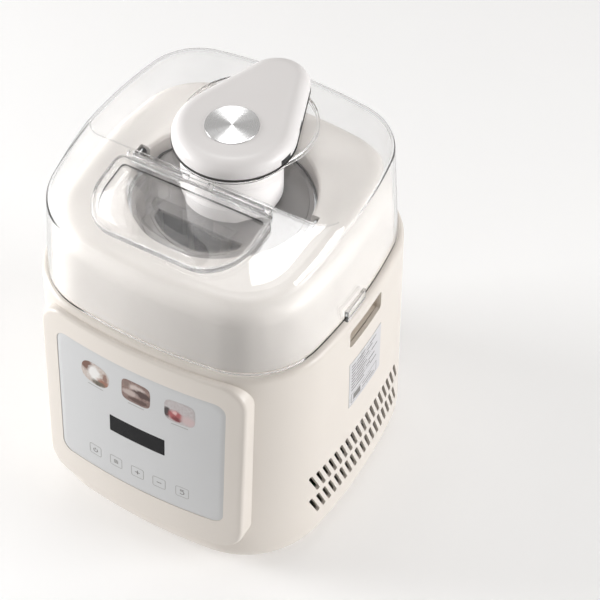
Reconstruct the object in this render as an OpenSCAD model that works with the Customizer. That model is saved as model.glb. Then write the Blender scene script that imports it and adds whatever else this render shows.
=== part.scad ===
// Countertop compressor ice cream maker with a clear lid, feed flap and lift-off motor head.
// Millimetres, +Z up, front panel towards -Y. Origin: centre of the bounding box on the table plane;
// the bowl, dasher and output gear turn about the Z axis itself.

/* [Body] */
// half width of the body near its foot, X
body_a = 120; // [105:1:135]
// half depth of the body near its foot, Y, without the panel bezel
body_b = 122.8; // [108:0.2:138]
// half width of the body at the top rim
rim_a = 116.4; // [102:0.2:130]
// half depth of the body at the top rim
rim_b = 113.7; // [100:0.2:128]
// height of the deck that the lid and cover stand on
deck_z = 217; // [190:1:240]
// wall thickness of the body shell
shell_t = 3; // [2:0.2:4]
// how far the feet lift the base pan
foot_h = 5; // [3:0.5:8]
// radius of the rounded lower edge
foot_round = 22; // [12:1:28]

/* [Front panel] */
// half width of the raised bezel
bezel_a = 84.6; // [70:0.2:86]
// half width of the silver membrane
panel_a = 70; // [60:1:74]
// front face of the bezel ahead of the axis at deck height
bezel_y = 117.9; // [116:0.1:124]
// forward lean of the bezel for each millimetre down
bezel_lean = 0.071; // [0.04:0.001:0.09]

/* [Bowl] */
// inner radius of the removable bowl
bowl_r = 60.3; // [48:0.1:61]
// wall of the bowl
bowl_t = 1.2; // [0.8:0.1:2]
// height of the bowl's inside floor
bowl_z0 = 124; // [118:1:150]
// height of the bowl's flange
bowl_z1 = 253.3; // [240:0.1:256]

/* [Cover and lid] */
// radius of the round opening in the white cover
mouth_r = 66.3; // [65.6:0.1:70]
// height of the crest of the white cover
crest_z = 272; // [268:1:276]
// height of the flat top of the clear lid
lid_z = 300.4; // [296:0.2:310]
// wall of the clear lid
lid_t = 2.4; // [1.8:0.1:3]
// slope of the lid's front part in degrees
lid_slope = 8.7; // [5:0.1:12]

/* [Motor head] */
// radius of the motor housing that passes through the lid
motor_r = 36; // [35:0.5:40]
// distance of the housing's centre behind the drive axis
motor_y = 13; // [10:0.5:15]
// radius of the front of the head cover
head_r = 43.5; // [42:0.5:46]
// radius of the tail of the head cover
tail_r = 24; // [18:0.5:28]
// radius of the brushed metal disc
disc_r = 19; // [14:0.5:22]

/* [Gears] */
// gear module
mod = 1; // [1:1:1]
// teeth on the output gear
teeth_out = 32; // [32:1:32]
// teeth on the small idler gear
teeth_small = 10; // [10:1:10]
// teeth on the large idler gear
teeth_large = 24; // [24:1:24]
// teeth on the motor pinion
teeth_pin = 10; // [10:1:10]

/* [Hidden] */
// radial clearance of every running fit
fit = 0.05;
// soft clearance between pieces that lift apart
gap = 0.3;
// bow of the side walls and corner radius at the foot and at the rim
bow_foot = 440;
bow_rim = 408;
corner_foot = 71;
corner_rim = 64;
top_round = 5;
wall_z1 = deck_z - 6;
wall_z0 = foot_h + foot_round;
pan_t = 4;
pan_top = foot_h + pan_t;
// bezel and panel extents
bezel_z0 = 40;
bezel_z1 = deck_z - 5;
panel_z0 = 67.5;
panel_z1 = deck_z - 23.5;
bezel_bow = 430;
front_y = bezel_y + bezel_lean * (deck_z - bezel_z0);
display_a = 23.4;
display_z0 = 119.3;
display_z1 = 136.3;
// vents and grips in the side walls
vent_count = 18;
vent_pitch = 7.3;
vent_y0 = -64.6;
vent_w = 3.6;
vent_len = 20;
vent_lean = 22;
vent_z = [51.8, 78.6];
grip_w = 46;
grip_z0 = deck_z - 27;
grip_z1 = deck_z - 10;
label_z0 = deck_z - 93;
grip_depth = 14;
// inner bowl stack
bowl_ro = bowl_r + bowl_t;
flange_r = bowl_r + 4.7;
can_ri = bowl_ro + 0.7;
can_ro = can_ri + 1.6;
can_z0 = bowl_z0 - 6;
can_z1 = bowl_z1 - gap;
ear_w = 13;
ear_r = 71.5;
// white cover
cover_a = 108;
cover_b = 107;
cover_t = 2.5;
cover_round = 16;
cover_lean = 3.6;
mouth_z = crest_z - 2;
// clear lid
lid_a = 111.4;
lid_b = 110.3;
lid_top_a = 104.6;
lid_top_b = 105;
lid_round = 9;
slope_y = motor_y - motor_r - 1;
lid_z0 = deck_z + gap;
collar_y1 = motor_y + 3;
collar_r1 = motor_r + 5.3;
collar_y2 = 37;
collar_r2 = 48.8;
collar_t = 2;
collar_h = 4;
// flap on the lid's slope
flap_a = 61;
pin_y = motor_y - motor_r - 7.7;
flap_y0 = pin_y - 2.3;
flap_y1 = -94;
flap_r0 = 8;
flap_rx = 31;
flap_ry = 36;
flap_t = 2.2;
flap_rim = 5;
pin_r = 1.3;
knuckles = [-56, -12, 8, 52];
barrel_r = 2.6;
pin_z = lid_z - (slope_y - pin_y) * tan(lid_slope) + gap + barrel_r;
// head
head_z0 = lid_z + collar_h + 0.6;
head_z1 = 319;
head_y = 17;
tail_y = 74;
disc_y = 14;
post_y = 74.4;
post_r = 7.2;
can_bottom = 261;
// inner bowl lid and drive
blid_z0 = bowl_z1 + 1.9;
blid_z1 = 258.6;
stem_r = 5;
hub_r = 8;
gear_z0 = 265;
gear_h = 6;
idler_y = mod * (teeth_out + teeth_small) / 2;
pin_x = mod * (teeth_large + teeth_pin) / 2;
large_z0 = gear_z0 + gear_h + 1.5;
large_h = 5;
plate_z0 = large_z0 + large_h + 1;
// fan and rear grille
fan_x = 0;
grille_a = 64;
grille_z0 = 18;
grille_z1 = 110;
fan_z = 62.5;
fan_r = 40;
fan_y0 = 84;
fan_t = 22;
// compressor
comp_x = -41;
comp_y = -22;
comp_r = 50;
$fn = 72;

function lerp(a, b, t) = a + (b - a) * t;

// One loop of a rounded square whose sides bow outwards: four wide arcs joined by four corner arcs.
function quarter(a, b, bow, rc, p, q, h, d) =
    let(kx = -p / 2 + h * q / d, ky = -q / 2 + h * p / d,
        t1 = atan2(ky, kx + p), t2 = atan2(ky + q, kx))
    concat(
        [for (i = [0:3]) let(t = t1 * i / 4) [-p + bow * cos(t), bow * sin(t)]],
        [for (i = [0:9]) let(t = lerp(t1, t2, i / 10)) [kx + rc * cos(t), ky + rc * sin(t)]],
        [for (i = [0:3]) let(t = lerp(t2, 90, i / 4)) [bow * cos(t), -q + bow * sin(t)]]);

function loop(a, b, bow, rc) =
    let(r = bow - rc, p = bow - a, q = bow - b, d = sqrt(p * p + q * q),
        h = sqrt(r * r - d * d / 4), c = quarter(a, b, bow, rc, p, q, h, d), n = len(c))
    concat(c, [[0, b]],
        [for (i = [n - 1:-1:1]) [-c[i][0], c[i][1]]],
        [[-a, 0]],
        [for (i = [1:n - 1]) [-c[i][0], -c[i][1]]],
        [[0, -b]],
        [for (i = [n - 1:-1:1]) [c[i][0], -c[i][1]]]);

function lift(pts, z) = [for (p = pts) [p[0], p[1], z]];

// A closed skin over a stack of equal-length loops.
module stack(rings) {
    n = len(rings[0]);
    m = len(rings);
    polyhedron(
        points = [for (r = rings) for (p = r) p],
        faces = concat(
            [[for (i = [0:n - 1]) i]],
            [for (k = [0:m - 2]) for (i = [0:n - 1]) [k * n + i, (k + 1) * n + i, (k + 1) * n + (i + 1) % n]],
            [for (k = [0:m - 2]) for (i = [0:n - 1]) [k * n + i, (k + 1) * n + (i + 1) % n, k * n + (i + 1) % n]],
            [[for (i = [n - 1:-1:0]) (m - 1) * n + i]]));
}

// Outline of the body at height z, moved inwards by d.
function body_at(z, d) =
    let(t = (z - wall_z0) / (wall_z1 - wall_z0),
        low = z < wall_z0 ? foot_round - sqrt(max(0, foot_round * foot_round - pow(wall_z0 - z, 2))) : 0,
        high = z > wall_z1 ? (z - wall_z1) * (z - wall_z1) / 9 : 0,
        e = low + high + d)
    lift(loop(lerp(body_a, rim_a, t) - e, lerp(body_b, rim_b, t) - e, lerp(bow_foot, bow_rim, t) - e,
        lerp(corner_foot, corner_rim, t) - e), z);

module rr_plate(a, z0, z1, r) {
    // a rounded rectangle in the XZ plane, long in Y
    rotate([90, 0, 0]) linear_extrude(300, center = true)
        polygon([for (c = [[a - r, z1 - r, 0], [r - a, z1 - r, 90], [r - a, z0 + r, 180], [a - r, z0 + r, 270]])
            for (k = [0:6]) [c[0] + r * cos(c[2] + k * 15), c[1] + r * sin(c[2] + k * 15)]]);
}

module lean() {
    // tips what is drawn upright into the lean of the bezel, hinged at deck height
    multmatrix([[1, 0, 0, 0], [0, 1, bezel_lean, -bezel_lean * deck_z], [0, 0, 1, 0], [0, 0, 0, 1]])
        children();
}

module front_bow(d) {
    // a wide cylinder whose front face is the bezel's bowed face, moved inwards by d
    lean() translate([0, bezel_bow - bezel_y, 20]) cylinder(r = bezel_bow - d, h = 210, $fn = 360);
}

module vent(y, z) {
    translate([95, y, z]) rotate([vent_lean, 0, 0]) {
        translate([0, -vent_w / 2, -vent_len / 2]) cube([60, vent_w, vent_len], center = false);
        translate([0, 0, vent_len / 2]) rotate([0, 90, 0]) cylinder(r = vent_w / 2, h = 60, $fn = 16);
        translate([0, 0, -vent_len / 2]) rotate([0, 90, 0]) cylinder(r = vent_w / 2, h = 60, $fn = 16);
    }
}

module side_vents() {
    for (s = [0, 1], z = vent_z, k = [0:vent_count - 1]) mirror([s, 0, 0]) vent(vent_y0 + k * vent_pitch, z);
}

// Body ------------------------------------------------------------------------------------------

module outer_shell() {
    color([0.93, 0.90, 0.85]) difference() {
        stack([for (z = [foot_h, foot_h + 3, foot_h + 9, wall_z0, wall_z1, deck_z - 3.5, deck_z - 1.4, deck_z])
            body_at(z, 0)]);
        stack([for (z = [foot_h - 1, foot_h, foot_h + 3, foot_h + 9, wall_z0, wall_z1])
            z < foot_h ? lift(body_at(foot_h, shell_t), z) : body_at(z, shell_t)]);
        translate([0, 0, wall_z1 - 1]) linear_extrude(12) polygon(loop(100, 98, 380, 56));
        side_vents();
        for (s = [-1, 1]) translate([s * (rim_a + 1.6) - 15, -grip_w / 2, grip_z0])
            cube([30, grip_w, grip_z1 - grip_z0]);
        translate([fan_x - grille_a + 6, 90, grille_z0 + 6]) cube([2 * grille_a - 12, 60, grille_z1 - grille_z0 - 12]);
        translate([-88, 121, 52]) rotate([90, 0, 0]) cylinder(r = 7.5, h = 80, center = true, $fn = 32);
        translate([0, -112, 128]) cube([50, 30, 30], center = true);
    }
}

module base_pan() {
    color([0.25, 0.25, 0.26]) difference() {
        translate([0, 0, foot_h]) linear_extrude(pan_t)
            polygon([for (p = body_at(foot_h, shell_t + gap)) [p[0], p[1]]]);
        for (x = [-1, 1], y = [-1, 1]) translate([x * 74, y * 74, 0]) cylinder(r = 3.2, h = 30, $fn = 32);
        for (x = [-3:3]) translate([50 + x * 7 - 1.5, -60, 0]) cube([3, 50, 30]);
        for (k = [0:2]) translate([comp_x + 58 * cos(90 + k * 120), comp_y + 58 * sin(90 + k * 120), 0])
            cylinder(r = 2.6, h = 30, $fn = 24);
    }
}

module feet() {
    color([0.18, 0.18, 0.18]) for (x = [-1, 1], y = [-1, 1]) translate([x * 74, y * 74, 0]) {
        cylinder(r1 = 8, r2 = 10, h = foot_h, $fn = 48);
        cylinder(r = 3.1, h = pan_top, $fn = 32);
        translate([0, 0, pan_top]) cylinder(r1 = 4.4, r2 = 3.2, h = 2.5, $fn = 32);
    }
}

module front_bezel() {
    color([0.94, 0.91, 0.86]) difference() {
        intersection() {
            rr_plate(bezel_a, bezel_z0, bezel_z1, 20);
            front_bow(0);
            translate([-100, -150, 0]) cube([200, 100, 250]);
        }
        stack([for (z = [foot_h, foot_h + 9, wall_z0, wall_z1, deck_z - 3, deck_z + 2]) body_at(z, -0.05)]);
        difference() {
            rr_plate(panel_a + 0.1, panel_z0 - 0.1, panel_z1 + 0.1, 9);
            front_bow(1.3);
        }
        translate([0, -118, 128]) cube([50, 60, 30], center = true);
    }
}

module panel_membrane() {
    color([0.80, 0.81, 0.82]) difference() {
        intersection() {
            rr_plate(panel_a, panel_z0, panel_z1, 9);
            front_bow(0.3);
            translate([-100, -150, 0]) cube([200, 100, 250]);
        }
        front_bow(1.3);
        rr_plate(display_a, display_z0, display_z1, 0.8);
    }
}

module display_window() {
    color([0.05, 0.05, 0.06]) difference() {
        intersection() {
            rr_plate(display_a - 0.05, display_z0 + 0.05, display_z1 - 0.05, 0.8);
            front_bow(0.35);
            translate([-100, -150, 0]) cube([200, 100, 250]);
        }
        front_bow(4.5);
    }
}

module control_board() {
    color([0.12, 0.35, 0.20]) {
        translate([-58, -103, 76]) cube([116, 1.6, deck_z - 105]);
        translate([-26, -110.2, 117]) cube([52, 7.2, 21]);
        translate([-40, -101.4, deck_z - 67]) cube([18, 3, 18]);
        translate([10, -101.4, 92]) cube([30, 6, 12]);
        for (k = [-2:2]) translate([k * 19, -103, 86.5]) rotate([90, 0, 0]) cylinder(r = 5, h = 4, $fn = 24);
    }
}

module rear_bow(d) {
    translate([0, front_y - bezel_bow, 0]) cylinder(r = bezel_bow - d, h = 210, $fn = 360);
}

module rear_grille() {
    color([0.90, 0.87, 0.82]) difference() {
        intersection() {
            rr_plate(grille_a, grille_z0, grille_z1, 12);
            rear_bow(0);
            translate([-100, 60, 0]) cube([200, 100, 200]);
        }
        intersection() {
            rr_plate(grille_a - 3, grille_z0 + 3, grille_z1 - 3, 9);
            rear_bow(3);
            translate([-100, 60, 0]) cube([200, 100, 200]);
        }
        stack([for (z = [foot_h + 9, wall_z0, wall_z1]) body_at(z, -0.05)]);
        for (k = [0:13]) translate([-54.5 + k * 8, 110, grille_z0 + 9]) cube([5, 40, grille_z1 - grille_z0 - 18]);
    }
}

module ac_inlet() {
    color([0.10, 0.10, 0.10]) translate([-88, 0, 52]) rotate([-90, 0, 0]) difference() {
        union() {
            translate([0, 0, 88]) cylinder(r = 7, h = 24, $fn = 32);
            translate([0, 0, 88]) cylinder(r = 9.5, h = 3, $fn = 32);
        }
        translate([0, 0, 87]) cylinder(r = 3.6, h = 40, $fn = 32);
    }
}

module rating_label() {
    color([0.96, 0.96, 0.95]) difference() {
        translate([min(body_a, rim_a) - 6.4, -23, label_z0]) cube([abs(body_a - rim_a) + 6.4, 47, 48]);
        stack([for (z = [label_z0 - 24, wall_z1 - 11]) body_at(z, -0.02)]);
        difference() {
            translate([min(body_a, rim_a) - 26.4, -60, label_z0 - 20]) cube([abs(body_a - rim_a) + 60, 120, 80]);
            stack([for (z = [label_z0 - 24, wall_z1 - 11]) body_at(z, -0.35)]);
        }
    }
}

module grip_pockets() {
    color([0.86, 0.83, 0.78]) for (s = [-1, 1]) difference() {
        translate([s > 0 ? rim_a - 19.4 : 3.4 - rim_a, -grip_w / 2 - 2, grip_z0 - 2]) cube([16, grip_w + 4, grip_z1 - grip_z0 + 4]);
        translate([s > 0 ? rim_a - 17.4 : -rim_a - 14.6, -grip_w / 2, grip_z0]) cube([32, grip_w, grip_z1 - grip_z0]);
        difference() {
            translate([-rim_a - 23.6, -60, deck_z - 67]) cube([2 * rim_a + 47.2, 120, 62]);
            stack([for (z = [deck_z - 77, wall_z1 + 0.5]) body_at(z, shell_t + 0.1)]);
        }
    }
}

function cover_ring(z, e) = lift(loop(cover_a - e, cover_b - e, 400 - e, 58 - e), z);

function round_ring(r, z) = [for (p = loop(100, 100, 400, 60)) let(k = r / norm(p)) [p[0] * k, p[1] * k, z]];

module cover_skin(t) {
    zc = crest_z - cover_round;
    stack(concat(
        [cover_ring(deck_z - (t > 0 ? 1 : 0), t)],
        [for (k = [0:4]) let(g = k * 22.5) cover_ring(zc + (cover_round - t) * sin(g),
            cover_lean + cover_round - (cover_round - t) * cos(g))],
        [round_ring(mouth_r + 2.6 + t, mouth_z - t)]));
}

module top_cover() {
    color([0.95, 0.93, 0.89]) difference() {
        union() {
            difference() {
                cover_skin(0);
                cover_skin(cover_t);
            }
            difference() {
                translate([0, 0, bowl_z1 + 3]) cylinder(r = mouth_r + 2.7, h = mouth_z - bowl_z1 - 3);
                cylinder(r = mouth_r, h = 300);
            }
            translate([0, post_y, mouth_z - 6]) cylinder(r = post_r + 3.3, h = 9, $fn = 48);
        }
        cylinder(r = mouth_r, h = 300);
        for (s = [0, 180]) rotate([0, 0, s]) translate([50, -ear_w / 2 - 2, bowl_z1 + 2])
            cube([ear_r + 1.5 - 50, ear_w + 4, 30]);
        translate([0, post_y, 250]) cylinder(r = post_r + gap, h = 40, $fn = 48);
    }
}

module cover_gasket() {
    color([0.55, 0.55, 0.54]) difference() {
        translate([0, 0, can_z1 + 0.05]) cylinder(r = 70.5, h = 3);
        translate([0, 0, can_z1 - 1]) cylinder(r = flange_r + 0.8, h = 6);
        for (s = [0, 180]) rotate([0, 0, s]) translate([50, -ear_w / 2 - 2, can_z1 - 1]) cube([30, ear_w + 4, 6]);
    }
}

module evaporator_can() {
    color([0.72, 0.73, 0.74]) difference() {
        union() {
            translate([0, 0, can_z0 - 1.5]) cylinder(r = can_ro, h = can_z1 - can_z0 + 1.5);
            translate([0, 0, can_z1 - 1.5]) cylinder(r = 70.5, h = 1.5);
        }
        translate([0, 0, can_z0]) cylinder(r = can_ri, h = 200);
    }
}

module evaporator_coil() {
    color([0.72, 0.45, 0.20]) {
        for (k = [0:7]) translate([0, 0, can_z0 + 10 + k * 11])
            rotate_extrude($fn = 72) translate([can_ro + 3.15, 0]) circle(r = 3, $fn = 16);
        translate([0, can_ro + 3.15, can_z0 - 14]) cylinder(r = 2.6, h = 105, $fn = 20);
        rotate([0, 0, 30]) translate([0, can_ro + 3.15, can_z0 - 14]) cylinder(r = 2.6, h = 105, $fn = 20);
    }
}

module insulation() {
    color([0.90, 0.86, 0.70]) difference() {
        union() {
            translate([0, 0, can_z0 - 9]) cylinder(r = 91, h = wall_z1 - can_z0 + 8);
            translate([0, 0, wall_z1 - 3]) cylinder(r = 86, h = 30);
        }
        translate([0, 0, can_z0 - 1.6]) cylinder(r = can_ro + 6.4, h = 200);
        for (a = [0, 30]) rotate([0, 0, a]) translate([0, can_ro + 3.15, 80]) cylinder(r = 3, h = 60, $fn = 20);
    }
}

module compressor() {
    color([0.10, 0.10, 0.11]) translate([comp_x, comp_y, 0]) {
        translate([0, 0, 22]) cylinder(r = comp_r, h = 52);
        translate([0, 0, 74]) rotate_extrude() polygon(concat([[0, 0]],
            [for (k = [0:8]) [comp_r * cos(k * 11.25), 24 * sin(k * 11.25)]]));
        translate([0, 0, 22]) mirror([0, 0, 1]) rotate_extrude() polygon(concat([[0, 0]],
            [for (k = [0:4]) [comp_r * cos(k * 11.25), 8 * sin(k * 11.25)]], [[0, 5.6]]));
        translate([0, 0, 46]) cylinder(r = comp_r + 2.5, h = 4);
        for (k = [0:2]) rotate([0, 0, 90 + k * 120]) difference() {
            union() {
                translate([30, -9, 16]) cube([28, 18, 3]);
                translate([58, 0, 16]) cylinder(r = 9, h = 3, $fn = 32);
            }
            translate([58, 0, 0]) cylinder(r = 4.2, h = 40, $fn = 32);
        }
        translate([comp_r * 0.5, comp_r * 0.7, 60]) cylinder(r = 4, h = 30, $fn = 24);
    }
}

module compressor_mounts() {
    color([0.15, 0.15, 0.15]) for (k = [0:2])
        translate([comp_x + 58 * cos(90 + k * 120), comp_y + 58 * sin(90 + k * 120), pan_top]) difference() {
            union() {
                cylinder(r = 8, h = 6.9, $fn = 32);
                cylinder(r = 4.1, h = 11, $fn = 32);
                translate([0, 0, 10.1]) cylinder(r = 7, h = 2.4, $fn = 32);
            }
            translate([0, 0, -1]) cylinder(r = 2.6, h = 20, $fn = 24);
        }
}

module compressor_bolts() {
    color([0.70, 0.70, 0.70]) for (k = [0:2])
        translate([comp_x + 58 * cos(90 + k * 120), comp_y + 58 * sin(90 + k * 120), foot_h + 0.4]) {
            cylinder(r = 2.5, h = 19, $fn = 24);
            translate([0, 0, pan_t + 12.2]) cylinder(r = 5, h = 3, $fn = 6);
        }
}

module start_relay() {
    color([0.16, 0.16, 0.17]) translate([comp_x + comp_r * 0.2, comp_y - comp_r - 15.5, 36]) cube([26, 14, 30]);
}

module condenser_fins() {
    color([0.75, 0.76, 0.78]) difference() {
        for (k = [0:23]) translate([-46 + k * 4, 56, 18]) cube([0.6, 24, 84]);
        for (r = [0:1], k = [0:4]) translate([-60, 62 + r * 12, 28 + k * 17]) rotate([0, 90, 0])
            cylinder(r = 2.6, h = 120, $fn = 20);
    }
}

module condenser_tubes() {
    color([0.72, 0.45, 0.20]) for (r = [0:1]) {
        for (k = [0:4]) translate([-52, 62 + r * 12, 28 + k * 17]) rotate([0, 90, 0])
            cylinder(r = 2.5, h = 104, $fn = 20);
        for (k = [0:3]) translate([k % 2 == 0 ? 52 : -52, 62 + r * 12, 28 + k * 17]) cylinder(r = 2.5, h = 17, $fn = 20);
    }
}

module fan_frame() {
    color([0.13, 0.13, 0.14]) translate([fan_x, fan_y0, fan_z]) rotate([-90, 0, 0]) difference() {
        union() {
            difference() {
                translate([-46, -46, 0]) cube([92, 92, fan_t]);
                translate([0, 0, -1]) cylinder(r = fan_r + 1.2, h = fan_t + 2);
            }
            for (k = [0:3]) rotate([0, 0, 45 + k * 90]) translate([10, -2, 0.4]) cube([33, 4, 2.1]);
            translate([0, 0, 0.3]) cylinder(r = 15, h = 2.4, $fn = 48);
            translate([0, 0, 1]) cylinder(r = 4.5, h = 9, $fn = 32);
        }
        translate([0, 0, 1.2]) cylinder(r = 2 + fit, h = 20, $fn = 32);
        for (x = [-1, 1], y = [-1, 1]) translate([x * 41, y * 41, -1]) cylinder(r = 2.2, h = 40, $fn = 20);
    }
}

module fan_impeller() {
    color([0.20, 0.20, 0.21]) translate([fan_x, fan_y0, fan_z]) rotate([-90, 0, 0]) {
        difference() {
            translate([0, 0, 3.6]) cylinder(r = 14, h = 16, $fn = 48);
            translate([0, 0, 3]) cylinder(r = 11.5, h = 14, $fn = 48);
        }
        translate([0, 0, 1.6]) cylinder(r = 2, h = 17, $fn = 32);
        for (k = [0:6]) rotate([0, 0, k * 360 / 7]) translate([13, 0, 11]) rotate([35, 0, 0])
            translate([0, -9.5, -0.7]) cube([25.5, 19, 1.4]);
    }
}

module filter_drier() {
    color([0.72, 0.45, 0.20]) translate([-72, 44, 44]) {
        cylinder(r = 8, h = 46, $fn = 32);
        translate([0, 0, -10]) cylinder(r = 2.5, h = 66, $fn = 20);
    }
}

module discharge_pipe() {
    color([0.72, 0.45, 0.20]) {
        translate([comp_x + comp_r * 0.5, comp_y + comp_r * 0.7, 90.2]) cylinder(r = 2.6, h = 6, $fn = 20);
        translate([comp_x + comp_r * 0.5, comp_y + comp_r * 0.7, 96]) sphere(r = 2.6, $fn = 20);
        translate([comp_x + comp_r * 0.5, comp_y + comp_r * 0.7, 96]) rotate([0, 90, 0])
            cylinder(r = 2.6, h = 50, $fn = 20);
        translate([comp_x + comp_r * 0.5 + 50, comp_y + comp_r * 0.7, 96]) sphere(r = 2.6, $fn = 20);
        translate([comp_x + comp_r * 0.5 + 50, comp_y + comp_r * 0.7, 96]) rotate([-90, 0, 0])
            cylinder(r = 2.6, h = 42, $fn = 20);
    }
}

module power_board() {
    color([0.12, 0.35, 0.20]) {
        for (x = [40, 86], y = [-84, -34]) translate([x, y, pan_top]) cylinder(r = 3, h = 8, $fn = 20);
        translate([32, -92, pan_top + 8]) cube([62, 66, 1.6]);
        translate([38, -84, pan_top + 9.6]) cube([22, 20, 18]);
        translate([72, -76, pan_top + 9.6]) cylinder(r = 8, h = 22, $fn = 32);
        translate([66, -52, pan_top + 9.6]) cube([16, 14, 14]);
    }
}

module power_post() {
    color([0.92, 0.89, 0.84]) difference() {
        translate([0, post_y, mouth_z - 13]) cylinder(r = post_r, h = 39, $fn = 48);
        for (x = [-1, 1]) translate([x * 4, post_y, mouth_z + 16]) cylinder(r = 1.9, h = 20, $fn = 20);
    }
}

module lid_switch() {
    color([0.15, 0.15, 0.16]) translate([100.6, 40, deck_z - 14.3]) cube([8, 18, 8]);
}

module base_screws() {
    color([0.65, 0.65, 0.66]) for (x = [-1, 1], y = [-1, 1]) translate([x * 92, y * 40, foot_h - 0.6]) {
        cylinder(r = 4, h = 0.55, $fn = 24);
    }
}

// Bowl and dasher ---------------------------------------------------------------------------------

module bowl() {
    color([0.78, 0.79, 0.80]) difference() {
        union() {
            translate([0, 0, bowl_z0 - bowl_t]) cylinder(r = bowl_ro, h = bowl_z1 - bowl_z0 + bowl_t + 1.4);
            translate([0, 0, bowl_z1]) cylinder(r = flange_r, h = 1.4);
            for (s = [-1, 1]) translate([s > 0 ? 60 : -ear_r, -ear_w / 2, bowl_z1]) cube([ear_r - 60, ear_w, 1.4]);
            for (s = [-1, 1]) translate([s > 0 ? ear_r - 1.4 : -ear_r, -ear_w / 2, bowl_z1]) cube([1.4, ear_w, 15]);
        }
        translate([0, 0, bowl_z0]) cylinder(r = bowl_r, h = 200);
    }
    color([0.78, 0.79, 0.80]) translate([0, 0, bowl_z0 - 0.1]) cylinder(r1 = 5, r2 = 3, h = 5, $fn = 32);
}

module dasher() {
    z0 = bowl_z0 + 3;
    zb = 236;
    d = bowl_r - 2.3;
    color([0.93, 0.93, 0.92]) difference() {
        union() {
            translate([-d, -4, zb]) cube([2 * d, 8, 5]);
            for (s = [0, 180]) rotate([0, 0, s]) translate([d - 4.5, -2, z0]) cube([5, 4, zb - z0 + 1]);
            translate([-d, -2, z0]) cube([d - 6, 4, 5]);
            translate([6, -2, z0]) cube([d - 6, 4, 5]);
            translate([0, 0, z0 - 2]) cylinder(r = 9, h = 9, $fn = 48);
            translate([34, -1.5, z0 + 18]) cube([d - 37, 3, zb - z0 - 36]);
            translate([-30, -1.5, z0]) cube([3, 3, zb - z0 + 1]);
            translate([-4, -2, z0]) cube([8, 4, zb - z0]);
        }
        translate([0, 0, z0 - 3]) cylinder(r = 5.4, h = 5.4, $fn = 32);
    }
}

module drive_stem() {
    color([0.93, 0.93, 0.92]) {
        difference() {
            translate([0, 0, 236.05]) cylinder(r1 = 16, r2 = 9, h = 12, $fn = 48);
            translate([-20, -4.03, 230]) cube([40, 8.06, 11.02]);
        }
        translate([0, 0, 248]) cylinder(r = 8.6, h = 12, $fn = 48);
        translate([0, 0, 260]) cylinder(r = stem_r, h = 14, $fn = 6);
    }
}

module feed_slot(z, h, g) {
    // the half-moon slot of the inner lid, widened by g
    m = bowl_r - 12.3;
    translate([0, 0, z]) linear_extrude(h) polygon(concat(
        [[m * 17 / 24 + g, 18 - m + g], [-m * 17 / 24 - g, 18 - m + g]],
        [for (k = [0:16]) let(t = 225 + k * 5.625) [(m + g) * cos(t), -3.2 + (m + g) * sin(t)]]));
}

module bowl_lid() {
    color([0.62, 0.63, 0.64, 0.75]) difference() {
        union() {
            translate([0, 0, blid_z0]) cylinder(r = flange_r - 1, h = 1.4);
            translate([0, 0, blid_z0]) cylinder(r = bowl_r + 0.2, h = blid_z1 - blid_z0 - 0.6);
            translate([0, 0, blid_z0 - 6]) cylinder(r = bowl_r - 1.7, h = 7);
            feed_slot(blid_z0, blid_z1 - blid_z0, 2);
            translate([0, 0, blid_z0]) cylinder(r = 13, h = blid_z1 - blid_z0, $fn = 48);
        }
        translate([0, 0, blid_z0 - 7]) cylinder(r = bowl_r - 3.7, h = 7.6);
        feed_slot(blid_z0 - 2, 10, 0);
        translate([0, 0, 240]) cylinder(r = 9, h = 30, $fn = 48);
    }
}

module bowl_lid_seal() {
    color([0.30, 0.30, 0.31]) difference() {
        translate([0, 0, blid_z0 - 4.4]) cylinder(r = bowl_r - 0.4, h = 2.4);
        translate([0, 0, blid_z0 - 5]) cylinder(r = bowl_r - 1.6, h = 6);
    }
}

// Clear lid -------------------------------------------------------------------------------------

function slope_z(y, d) = lid_z - d - max(0, slope_y - y) * tan(lid_slope);

function lid_ring(z, t, e, d) = [for (p = loop(lerp(lid_a, lid_top_a, t) - e, lerp(lid_b, lid_top_b, t) - e,
    lerp(bow_rim, 345, t) - e, lerp(60, 46, t) - e)) [p[0], p[1], min(z, slope_z(p[1], d))]];

module lid_skin(d) {
    zf = lid_z - lid_round;
    stack(concat(
        [lid_ring(d > 0 ? lid_z0 - 1 : lid_z0, 0, d, d)],
        [for (k = [0:4]) let(g = k * 22.5) lid_ring(zf + (lid_round - d) * sin(g), 1,
            lid_round - (lid_round - d) * cos(g), d)]));
}

// Half-round flap outline: straight rear edge, bowed front, moved inwards by e.
function flap_line(e) = concat(
    [for (k = [0:6]) let(t = k * 15)
        [flap_a - flap_r0 + (flap_r0 - e) * cos(t), flap_y0 - flap_r0 + (flap_r0 - e) * sin(t)]],
    [for (k = [0:6]) let(t = 90 + k * 15)
        [flap_r0 - flap_a + (flap_r0 - e) * cos(t), flap_y0 - flap_r0 + (flap_r0 - e) * sin(t)]],
    [for (k = [0:12]) let(t = 180 + k * 7.5)
        [flap_rx - flap_a + (flap_rx - e) * cos(t), flap_y1 + flap_ry + (flap_ry - e) * sin(t)]],
    [for (k = [0:12]) let(t = 270 + k * 7.5)
        [flap_a - flap_rx + (flap_rx - e) * cos(t), flap_y1 + flap_ry + (flap_ry - e) * sin(t)]]);

module on_slope() {
    translate([0, slope_y, lid_z]) rotate([lid_slope, 0, 0]) translate([0, -slope_y, 0]) children();
}

module lid_shell() {
    color([0.85, 0.90, 0.92, 0.25]) difference() {
        lid_skin(0);
        lid_skin(lid_t);
        on_slope() translate([0, 0, -20]) linear_extrude(40) polygon(flap_line(4.5));
        translate([0, motor_y, 280]) cylinder(r = motor_r + 0.5, h = 40);
        translate([0, post_y, 280]) cylinder(r = post_r + 2.5, h = 40, $fn = 48);
    }
}

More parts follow.
